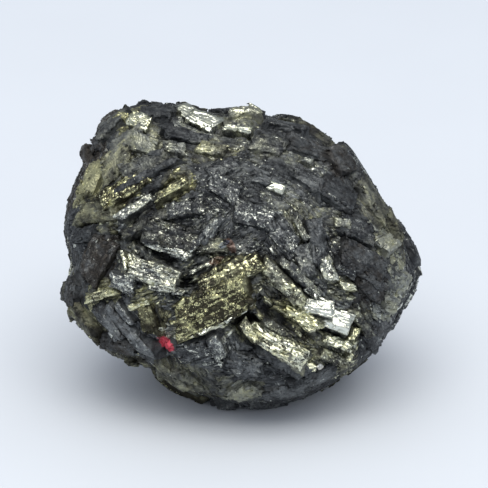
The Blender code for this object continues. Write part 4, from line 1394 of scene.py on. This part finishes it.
# %% Helpers for node groups
def new_group(name, inputs, outputs):
    """An empty shader node group with its sockets, and its input and output nodes."""
    group = bpy.data.node_groups.new(name, "ShaderNodeTree")
    for label, kind, value in inputs:
        socket = group.interface.new_socket(label, in_out="INPUT", socket_type=kind)
        if value is not None:
            socket.default_value = value
    for label, kind in outputs:
        group.interface.new_socket(label, in_out="OUTPUT", socket_type=kind)
    return group, group.nodes.new("NodeGroupInput"), group.nodes.new("NodeGroupOutput")


def feed(tree, socket, value):
    """Links a socket, or sets a plain number or colour, on the given input."""
    if isinstance(value, tuple):
        socket.default_value = (*value, 1.0)
    elif isinstance(value, (int, float)):
        socket.default_value = value
    else:
        tree.links.new(value, socket)


def math_node(tree, operation, *values):
    """One Math node on sockets or plain numbers."""
    node = tree.nodes.new("ShaderNodeMath")
    node.operation = operation
    for socket, value in zip(node.inputs, values):
        feed(tree, socket, value)
    return node.outputs[0]


print("node groups take sockets or plain values")

# %% [markdown]
# Patterns, ramps and mixes are needed again and again. A noise gives blobs of a size in
# millimetres, a ramp turns one range of numbers into another with soft ends, and a weighed sum
# adds several patterns up without making the whole lighter or darker.

# %% Patterns, ramps and mixes
# Places of a Mix node's sockets for colours: the factor and the two colours, and the result
MIX_INPUTS = (0, 6, 7)
MIX_RESULT = 2


def noise(tree, vector, grain_mm, detail=2.0, roughness=0.5):
    """A noise texture whose blobs are grain_mm wide on Object coordinates in metres."""
    node = tree.nodes.new("ShaderNodeTexNoise")
    node.inputs["Scale"].default_value = 1.0 / (grain_mm * MM)
    node.inputs["Detail"].default_value = detail
    node.inputs["Roughness"].default_value = roughness
    tree.links.new(vector, node.inputs["Vector"])
    return node.outputs["Fac"]


def noise_along(tree, run, width_mm, detail=2.0):
    """A noise of one number, in mm across a crystal: equal all along it, so it draws striations."""
    node = tree.nodes.new("ShaderNodeTexNoise")
    node.noise_dimensions = "1D"
    node.inputs["Scale"].default_value = 1.0 / width_mm
    node.inputs["Detail"].default_value = detail
    tree.links.new(run, node.inputs["W"])
    return node.outputs["Fac"]


def spread_to(tree, value, low, high, to_low=0.0, to_high=1.0):
    """A Map Range node with a smooth ramp from low to high."""
    node = tree.nodes.new("ShaderNodeMapRange")
    node.interpolation_type = "SMOOTHSTEP"
    tree.links.new(value, node.inputs["Value"])
    for label, number in zip(("From Min", "From Max", "To Min", "To Max"), (low, high, to_low, to_high)):
        node.inputs[label].default_value = number
    return node.outputs["Result"]


def mixed_color(tree, share, first, second):
    """A Mix node for colours; first and second are sockets or plain colours."""
    node = tree.nodes.new("ShaderNodeMix")
    node.data_type = "RGBA"
    for place, value in zip(MIX_INPUTS, (share, first, second)):
        feed(tree, node.inputs[place], value)
    return node.outputs[MIX_RESULT]


def weighed(tree, patterns, weights):
    """The sum of each pattern less a half, times its weight, so a noise adds nothing on average."""
    result = None
    for label, weight in weights.items():
        term = math_node(tree, "MULTIPLY_ADD", patterns[label], weight, -weight * 0.5)
        result = term if result is None else math_node(tree, "ADD", result, term)
    return result


print("patterns, ramps and mixes are ready")

# %% [markdown]
# ### Tarnish
#
# The bare share of a facet grows with the crystal's own cleanness, with the tone of the facet and
# with noises for blotches, flecks, specks and striations. Where it is bare the metal is smooth and
# bright. Where it is tarnished the surface is darker, rougher and less metallic. The tarnish is a
# dark and a pale colour for each of grey, olive and brown, mixed by how pale the crystal is and by
# the same patterns, so no facet is one flat colour. The cleanest faces are calm, with few specks.

# %% Colours and patterns of the tarnish
DARK_TARNISH = (0.029, 0.031, 0.034)
PALE_TARNISH = (0.265, 0.28, 0.28)
DARK_OLIVE = (0.034, 0.030, 0.018)
PALE_OLIVE = (0.33, 0.325, 0.195)
DARK_BROWN = (0.034, 0.030, 0.026)
PALE_BROWN = (0.19, 0.165, 0.135)
SILVERY_METAL = (0.72, 0.74, 0.66)
BRASSY_METAL = (0.75, 0.73, 0.41)

# Each pattern's grain in mm, detail and roughness
PATTERNS = {"blotch": (1.1, 3.0, 0.6), "speck": (0.15, 2.0, 0.6), "fleck": (0.42, 2.0, 0.6),
            "cloud": (2.6, 2.0, 0.5)}
STREAK_MM = 0.28
BARE_WEIGHTS = {"tone": 0.35, "speck": 1.7, "fleck": 1.1, "blotch": 1.1, "streak": 0.8}
GRAIN_WEIGHTS = {"tone": 0.5, "speck": 1.2, "fleck": 0.9, "streak": 0.35}
MOTTLE_WEIGHTS = {"blotch": 1.8, "cloud": 1.4}
ROUGH_WEIGHTS = {"fleck": 0.3, "tone": 0.1}
HUE_WEIGHTS = {"blotch": 0.9}
BARE_BY_CLEAN = 1.15
LIGHT_BY_PALE = 0.85

# Ramps: from, to, value at from, value at to
LIVELY_BY_CLEAN = (0.05, 0.35, 0.25, 1.0)
CALMER_WHEN_CLEAN = (0.75, 1.0, 1.0, 0.4)
BARE_BY_SHARE = (0.50, 0.80)
GRAIN_BY_LIVELY = (0.25, 1.0, 0.45, 1.0)
MOTTLE_BY_BRASS = (0.1, 0.8, 0.6, 1.5)
LIGHT_RANGE = (-0.1, 1.3)
OLIVE_BY_HUE = (0.0, 0.9)
BROWN_BY_HUE = (-0.15, -0.7)
BRASSY_BY_HUE = (0.1, 1.0)
ROUGH_BY_BARE = (0.0, 1.0, 0.12, 0.0)
ROUGH_BY_LIVELY = (0.25, 1.0, 0.50, 0.34)
ROUGH_BY_CLEAN = (0.7, 1.0, 0.0, -0.16)
METALLIC_BY_BARE = (0.0, 0.7, 0.72, 1.0)

print("patterns of", [grain for grain, *_ in PATTERNS.values()], "mm")

# %% [markdown]
# The group reads the five finish numbers and a place, and gives a colour, a roughness and how
# metallic the spot is. Even the tarnish is fairly metallic, because the film is thin and the metal
# below it still mirrors a little.

# %% The tarnish group
TARNISH_INPUTS = [("Vector", "NodeSocketVector", None), ("Clean", "NodeSocketFloat", 0.3),
                  ("Brass", "NodeSocketFloat", 0.5), ("Pale", "NodeSocketFloat", 0.5),
                  ("Tone", "NodeSocketFloat", 0.5), ("Run", "NodeSocketFloat", 0.0)]
TARNISH_OUTPUTS = [("Color", "NodeSocketColor"), ("Roughness", "NodeSocketFloat"),
                   ("Metallic", "NodeSocketFloat")]


def tarnish_color(group, light, hue, bare):
    """Grey, olive and brown film, each from dark to pale by light and mixed by hue, and over it the
    metal, from silvery to brassy by hue, where the crystal is bare."""
    grey = mixed_color(group, light, DARK_TARNISH, PALE_TARNISH)
    olive = mixed_color(group, light, DARK_OLIVE, PALE_OLIVE)
    brown = mixed_color(group, light, DARK_BROWN, PALE_BROWN)
    film = mixed_color(group, spread_to(group, hue, *OLIVE_BY_HUE), grey, olive)
    film = mixed_color(group, spread_to(group, hue, *BROWN_BY_HUE), film, brown)
    metal = mixed_color(group, spread_to(group, hue, *BRASSY_BY_HUE), SILVERY_METAL, BRASSY_METAL)
    return mixed_color(group, bare, film, metal)


def tarnish_group():
    """Color, Roughness and Metallic of tarnished pyrite from the finish numbers and a Vector."""
    group, given, result = new_group("pyrite_tarnish", TARNISH_INPUTS, TARNISH_OUTPUTS)
    vector, clean, brass, pale, tone, run = (given.outputs[label] for label, *_ in TARNISH_INPUTS)
    patterns = {label: noise(group, vector, *look) for label, look in PATTERNS.items()}
    patterns["tone"] = tone
    patterns["streak"] = noise_along(group, run, STREAK_MM)

    def plus(first, second):
        return math_node(group, "ADD", first, second)

    def times(first, second):
        return math_node(group, "MULTIPLY", first, second)

    lively = times(spread_to(group, clean, *LIVELY_BY_CLEAN), spread_to(group, clean, *CALMER_WHEN_CLEAN))
    share = plus(times(weighed(group, patterns, BARE_WEIGHTS), lively), times(clean, BARE_BY_CLEAN))
    bare = spread_to(group, share, *BARE_BY_SHARE)
    grain = times(weighed(group, patterns, GRAIN_WEIGHTS), spread_to(group, lively, *GRAIN_BY_LIVELY))
    mottle = times(weighed(group, patterns, MOTTLE_WEIGHTS), spread_to(group, brass, *MOTTLE_BY_BRASS))
    light = plus(plus(times(pale, LIGHT_BY_PALE), grain), mottle)
    hue = plus(brass, weighed(group, patterns, HUE_WEIGHTS))
    rough = plus(spread_to(group, bare, *ROUGH_BY_BARE), weighed(group, patterns, ROUGH_WEIGHTS))
    rough = plus(spread_to(group, lively, *ROUGH_BY_LIVELY), rough)
    rough = plus(spread_to(group, clean, *ROUGH_BY_CLEAN), rough)
    color = tarnish_color(group, spread_to(group, light, *LIGHT_RANGE), hue, bare)
    metallic = spread_to(group, bare, *METALLIC_BY_BARE)
    for label, value in (("Color", color), ("Roughness", rough), ("Metallic", metallic)):
        group.links.new(value, result.inputs[label])
    return group


TARNISH = tarnish_group()
print("group:", TARNISH.name, "with", len(TARNISH.nodes), "nodes")

# %% [markdown]
# ### Grain
#
# Between the smallest mesh steps and a smooth mirror lie pits, tiny facets and the hair-fine
# striations that pyrite is known for. They are too small for geometry, so they are a height for a
# Bump node: a Voronoi texture for facets, a noise for pits, and a noise of the run across the
# crystal for striations. The cleaner the metal, the smoother it is.

# %% The grain group
FACET_MM = 0.17
PITS = (0.12, 2.0, 0.6)
STRIATION_MM = 0.13
STRIATION_SHARE = 0.8
GRAIN_LEFT = 1.1
GRAIN_INPUTS = [("Vector", "NodeSocketVector", None), ("Run", "NodeSocketFloat", 0.0),
                ("Clean", "NodeSocketFloat", 0.3), ("Facets", "NodeSocketFloat", 0.6)]


def grain_group():
    """Height of the finest grain: facets by their share, plus pits, plus striations, and all of it
    times what the cleanness leaves."""
    group, given, result = new_group("pyrite_grain", GRAIN_INPUTS, [("Height", "NodeSocketFloat")])
    vector, run, clean, share = (given.outputs[label] for label, *_ in GRAIN_INPUTS)
    facets = group.nodes.new("ShaderNodeTexVoronoi")
    facets.feature = "F1"
    facets.inputs["Scale"].default_value = 1.0 / (FACET_MM * MM)
    group.links.new(vector, facets.inputs["Vector"])
    height = math_node(group, "MULTIPLY", facets.outputs["Distance"], share)
    height = math_node(group, "ADD", height, noise(group, vector, *PITS))
    striations = math_node(group, "MULTIPLY", noise_along(group, run, STRIATION_MM), STRIATION_SHARE)
    height = math_node(group, "ADD", height, striations)
    height = math_node(group, "MULTIPLY", height, math_node(group, "SUBTRACT", GRAIN_LEFT, clean))
    group.links.new(height, result.inputs["Height"])
    return group


GRAIN = grain_group()
print("group:", GRAIN.name, "with", len(GRAIN.nodes), "nodes")

# %% [markdown]
# ### Coloured spots
#
# A red crust sits at the lower left of the broad face, and rust, a bluish film and a white grain
# lie elsewhere on it. They are only colour, without any height, so none is a piece of its own. Each
# is a mask around one place: an ellipse in the face's directions whose edge a noise frays.

# %% The spots group
# Place and size in mm, turn in degrees, colour, and how much of the stone's own colour it hides
Spot = namedtuple("Spot", "across up turn length width color share")
SPOTS = (
    Spot(-7.3, -9.1, -46, 2.2, 1.1, (0.50, 0.05, 0.075), 1.0),       # red crust
    Spot(-0.9, 0.7, -60, 1.8, 0.9, (0.10, 0.048, 0.03), 0.75),       # rust
    Spot(-2.4, -0.8, 30, 1.8, 0.8, (0.13, 0.066, 0.032), 0.6),       # rust
    Spot(-1.6, 0.9, 30, 1.2, 0.6, (0.05, 0.07, 0.11), 0.6),          # bluish film
    Spot(8.0, -11.4, 0, 0.7, 0.6, (0.75, 0.74, 0.68), 1.0),          # white grain
)
SPOT_DEPTH = 4.0
FRAY_MM = 0.45
FRAY_SHARE = 0.9
SPOT_EDGE = (1.2, 1.45)
SPOT_INPUTS = [("Vector", "NodeSocketVector", None), ("Color", "NodeSocketColor", None),
               ("Metallic", "NodeSocketFloat", 1.0)]


def vector_node(tree, operation, vector, by=None):
    """One Vector Math node, with a plain vector as its second input."""
    node = tree.nodes.new("ShaderNodeVectorMath")
    node.operation = operation
    tree.links.new(vector, node.inputs[0])
    if by is not None:
        node.inputs[1].default_value = by
    return node.outputs["Value" if operation == "LENGTH" else "Vector"]


def spot_reach(tree, vector, spot):
    """How far out a place lies in the spot's ellipse, one at its edge: the place less the centre,
    turned to the spot's directions, each divided by half its size, and the length of that."""
    point = seat(spot)[0]
    axis = long_axis(OUT, spot.turn)
    turn = Matrix((np.array([axis, np.cross(OUT, axis), OUT]) @ AXES).tolist()).to_4x4()
    mapping = tree.nodes.new("ShaderNodeMapping")
    mapping.inputs["Rotation"].default_value = turn.to_euler()
    centred = vector_node(tree, "SUBTRACT", vector, Vector((CENTRE + point @ AXES) * MM))
    tree.links.new(centred, mapping.inputs["Vector"])
    half = (spot.length / 2 * MM, spot.width / 2 * MM, SPOT_DEPTH * MM)
    return vector_node(tree, "LENGTH", vector_node(tree, "DIVIDE", mapping.outputs[0], half))


def spots_group():
    """Color and Metallic with each spot laid over them by its mask."""
    group, given, result = new_group("pyrite_spots", SPOT_INPUTS,
                                     [("Color", "NodeSocketColor"), ("Metallic", "NodeSocketFloat")])
    vector, color, metallic = (given.outputs[label] for label, *_ in SPOT_INPUTS)
    fray = math_node(group, "MULTIPLY", noise(group, vector, FRAY_MM), FRAY_SHARE)
    for spot in SPOTS:
        reach = math_node(group, "ADD", spot_reach(group, vector, spot), fray)
        mask = spread_to(group, reach, *SPOT_EDGE, spot.share, 0.0)
        color = mixed_color(group, mask, color, spot.color)
        metallic = math_node(group, "MULTIPLY", metallic, math_node(group, "SUBTRACT", 1.0, mask))
    group.links.new(color, result.inputs["Color"])
    group.links.new(metallic, result.inputs["Metallic"])
    return group


SPOT_MASKS = spots_group()
print("spots:", len(SPOTS))

# %% [markdown]
# ### The material
#
# All of the stone is one mineral, so one function makes its material: the three groups feed one
# Principled shader. It is made twice, because the fine mass has stronger grain than the large
# faces. Every piece rides on the stone's one body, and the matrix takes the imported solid's place.

# %% Material of the crystals
Grain = namedtuple("Grain", "facets height_mm strength")
FACE_GRAIN = Grain(0.4, 0.03, 0.7)
MASS_GRAIN = Grain(0.7, 0.045, 0.9)


def placed_group(tree, group, vector):
    """A group node with its Vector linked."""
    node = tree.nodes.new("ShaderNodeGroup")
    node.node_tree = group
    tree.links.new(vector, node.inputs["Vector"])
    return node


def pyrite_material(name, look):
    """Tarnish, spots and grain on a Principled shader."""
    material = bpy.data.materials.new(name)
    material.use_nodes = True
    tree = material.node_tree
    shader = tree.nodes["Principled BSDF"]
    vector = tree.nodes.new("ShaderNodeTexCoord").outputs["Object"]
    tarnish, grain, spots = (placed_group(tree, group, vector) for group in (TARNISH, GRAIN, SPOT_MASKS))
    for label in FINISH:
        value = tree.nodes.new("ShaderNodeAttribute")
        value.attribute_name = label
        for group in (tarnish, grain):
            if label.capitalize() in group.inputs:
                tree.links.new(value.outputs["Fac"], group.inputs[label.capitalize()])
    grain.inputs["Facets"].default_value = look.facets
    bump = tree.nodes.new("ShaderNodeBump")
    bump.inputs["Strength"].default_value = look.strength
    bump.inputs["Distance"].default_value = look.height_mm * MM
    tree.links.new(grain.outputs["Height"], bump.inputs["Height"])
    for label in ("Color", "Metallic"):
        tree.links.new(tarnish.outputs[label], spots.inputs[label])
    tree.links.new(spots.outputs["Color"], shader.inputs["Base Color"])
    tree.links.new(tarnish.outputs["Roughness"], shader.inputs["Roughness"])
    tree.links.new(spots.outputs["Metallic"], shader.inputs["Metallic"])
    tree.links.new(bump.outputs["Normal"], shader.inputs["Normal"])
    return material


face_material = pyrite_material("pyrite_faces", FACE_GRAIN)
mass_material = pyrite_material("pyrite_fine_mass", MASS_GRAIN)
pieces = (matrix, face_slabs, face_ledges, side_slabs, front_splinters, side_splinters,
          centre_needles, flakes, side_flakes)
large = (face_slabs, face_ledges, side_slabs, flakes, side_flakes)
for piece in pieces:
    piece.data.materials.append(face_material if piece in large else mass_material)
    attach(piece, "root")
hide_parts("pyrite_crystal")
print("finished pieces:", len(pieces))

# %% [markdown]
# ## Floor
#
# The stone stands on a pale matt sheet that fills the view. A single face would do for a plain
# colour, but a real sheet is never quite even, so a wide, faint mottle lies in its tint.

# %% The pale sheet
FLOOR_HALF = 900.0
FLOOR_LINES = 9
FLOOR_TINT = (0.392, 0.407, 0.420)
FLOOR_DARKER = 0.985
FLOOR_MOTTLE_MM = 30.0
FLOOR_MOTTLE = (0.3, 0.7)
FLOOR_ROUGHNESS = 0.9
FLOOR_SPECULAR = 0.1


def sheet_material():
    """A matt tint that a wide noise darkens by a little."""
    material = bpy.data.materials.new("pale_sheet")
    material.use_nodes = True
    tree = material.node_tree
    shader = tree.nodes["Principled BSDF"]
    vector = tree.nodes.new("ShaderNodeTexCoord").outputs["Object"]
    mottle = spread_to(tree, noise(tree, vector, FLOOR_MOTTLE_MM), *FLOOR_MOTTLE)
    darker = tuple(FLOOR_DARKER * c for c in FLOOR_TINT)
    tree.links.new(mixed_color(tree, mottle, darker, FLOOR_TINT), shader.inputs["Base Color"])
    shader.inputs["Roughness"].default_value = FLOOR_ROUGHNESS
    shader.inputs["Specular IOR Level"].default_value = FLOOR_SPECULAR
    return material


def pale_floor():
    """A flat square grid of faces."""
    run = np.linspace(-FLOOR_HALF, FLOOR_HALF, FLOOR_LINES) * MM
    x, y = (g.ravel() for g in np.meshgrid(run, run, indexing="ij"))
    number = np.arange(FLOOR_LINES ** 2).reshape(FLOOR_LINES, FLOOR_LINES)
    quads = np.stack([number[:-1, :-1], number[1:, :-1], number[1:, 1:], number[:-1, 1:]], -1)
    mesh = bpy.data.meshes.new("floor")
    mesh.from_pydata(np.stack([x, y, 0 * x], 1).tolist(), [], quads.reshape(-1, 4).tolist())
    mesh.materials.append(sheet_material())
    floor = bpy.data.objects.new("floor", mesh)
    bpy.context.scene.collection.objects.link(floor)
    return floor


pale_floor()
print("floor of", round(2 * FLOOR_HALF), "mm")

# %% [markdown]
# ## Light
#
# One large soft light hangs above and in front of the stone. Metal shows what it mirrors, so its
# place decides which faces flash: those that lean back from the camera by about twenty degrees
# send it to the lens, while faces square to the camera mirror the dim side of the room and stay
# dark. A second lamp, almost overhead, deepens the shadow on the sheet under the stone. It is kept
# out of reflections, because it would light the whole top of the stone like a mirror.

# %% Lamps
KEY_SIZE = (400.0, 280.0)
KEY_PLACE = (0.0, -195.0, 390.0)
KEY_POWER = 1.5
KEY_TINT = (1.0, 0.98, 0.94)
FILL_SIZE = (800.0, 500.0)
FILL_PLACE = (0.0, -150.0, 600.0)
FILL_POWER = 2.0
FILL_TINT = (1.0, 0.99, 0.95)


def soft_light(name, place, size, power, tint):
    """An area light of size at place, in millimetres, that shines towards the stone's foot."""
    light = bpy.data.lights.new(name, "AREA")
    light.shape = "RECTANGLE"
    light.size, light.size_y = size[0] * MM, size[1] * MM
    light.energy = power
    light.color = tint
    holder = bpy.data.objects.new(name, light)
    holder.location = Vector(place) * MM
    holder.rotation_euler = (-Vector(place)).to_track_quat("-Z", "Y").to_euler()
    bpy.context.scene.collection.objects.link(holder)
    return holder


soft_light("overhead_softbox", KEY_PLACE, KEY_SIZE, KEY_POWER, KEY_TINT)
fill = soft_light("ceiling_fill", FILL_PLACE, FILL_SIZE, FILL_POWER, FILL_TINT)
fill.visible_glossy = False
print("lamps at", KEY_PLACE, "and", FILL_PLACE, "mm")

# %% [markdown]
# ## The room
#
# A studio's walls light the stone from all sides, and the metal mirrors them. One plain background
# would have to be bright enough for the sheet and dark enough for the reflections at once. Light
# paths tell the two apart: matt surfaces see pale walls, gloss sees a dim room, and the camera
# would see a pale backdrop beyond the sheet.

# %% Backgrounds
WALLS_TINT = (1.26, 1.34, 1.52)
ROOM_TINT = (0.275, 0.30, 0.33)
BACKDROP_TINT = (0.80, 0.86, 0.93)


def room_light():
    """Three plain backgrounds: what lights matt surfaces, what gloss mirrors, and the pale backdrop
    that the camera sees."""
    world = bpy.data.worlds.new("studio")
    bpy.context.scene.world = world
    world.use_nodes = True
    tree = world.node_tree
    tree.nodes.clear()
    path = tree.nodes.new("ShaderNodeLightPath")
    result = None
    for tint, ray in ((WALLS_TINT, None), (ROOM_TINT, "Is Glossy Ray"), (BACKDROP_TINT, "Is Camera Ray")):
        plain = tree.nodes.new("ShaderNodeBackground")
        plain.inputs["Color"].default_value = (*tint, 1.0)
        if result is None:
            result = plain.outputs[0]
            continue
        mix = tree.nodes.new("ShaderNodeMixShader")
        for socket, value in zip(mix.inputs, (path.outputs[ray], result, plain.outputs[0])):
            tree.links.new(value, socket)
        result = mix.outputs[0]
    out = tree.nodes.new("ShaderNodeOutputWorld")
    tree.links.new(result, out.inputs["Surface"])


room_light()
bpy.context.scene.view_settings.view_transform = "Standard"
print("the room's light is set")

# %% [markdown]
# ## Camera
#
# The photograph is a close-up from a little above, square on to the broad face. So the camera
# stands on the stone's out direction, about eight of the stone's widths away, and its lens is
# worked out from the width of the view at the stone.

# %% The close-up camera
VIEW_WIDTH = 48.8
SENSOR = 36.0
CLIP_START = 0.01


def close_up_camera():
    """A camera on the out direction whose picture is VIEW_WIDTH across at the stone's centre: the
    lens is to the sensor as the distance is to that width."""
    lens = bpy.data.cameras.new("close_up")
    lens.sensor_width = SENSOR
    lens.lens = SENSOR * VIEW_DISTANCE / VIEW_WIDTH
    lens.clip_start = CLIP_START
    camera = bpy.data.objects.new("close_up", lens)
    aim = CENTRE + np.array((AIM_ACROSS, AIM_UP, 0.0)) @ AXES
    place = CENTRE + np.array((AIM_ACROSS, AIM_UP, VIEW_DISTANCE)) @ AXES
    camera.location = Vector(place * MM)
    camera.rotation_euler = Vector(aim - place).to_track_quat("-Z", "Y").to_euler()
    bpy.context.scene.collection.objects.link(camera)
    bpy.context.scene.camera = camera
    return camera


print("camera at", [round(v / MM) for v in close_up_camera().location], "mm")
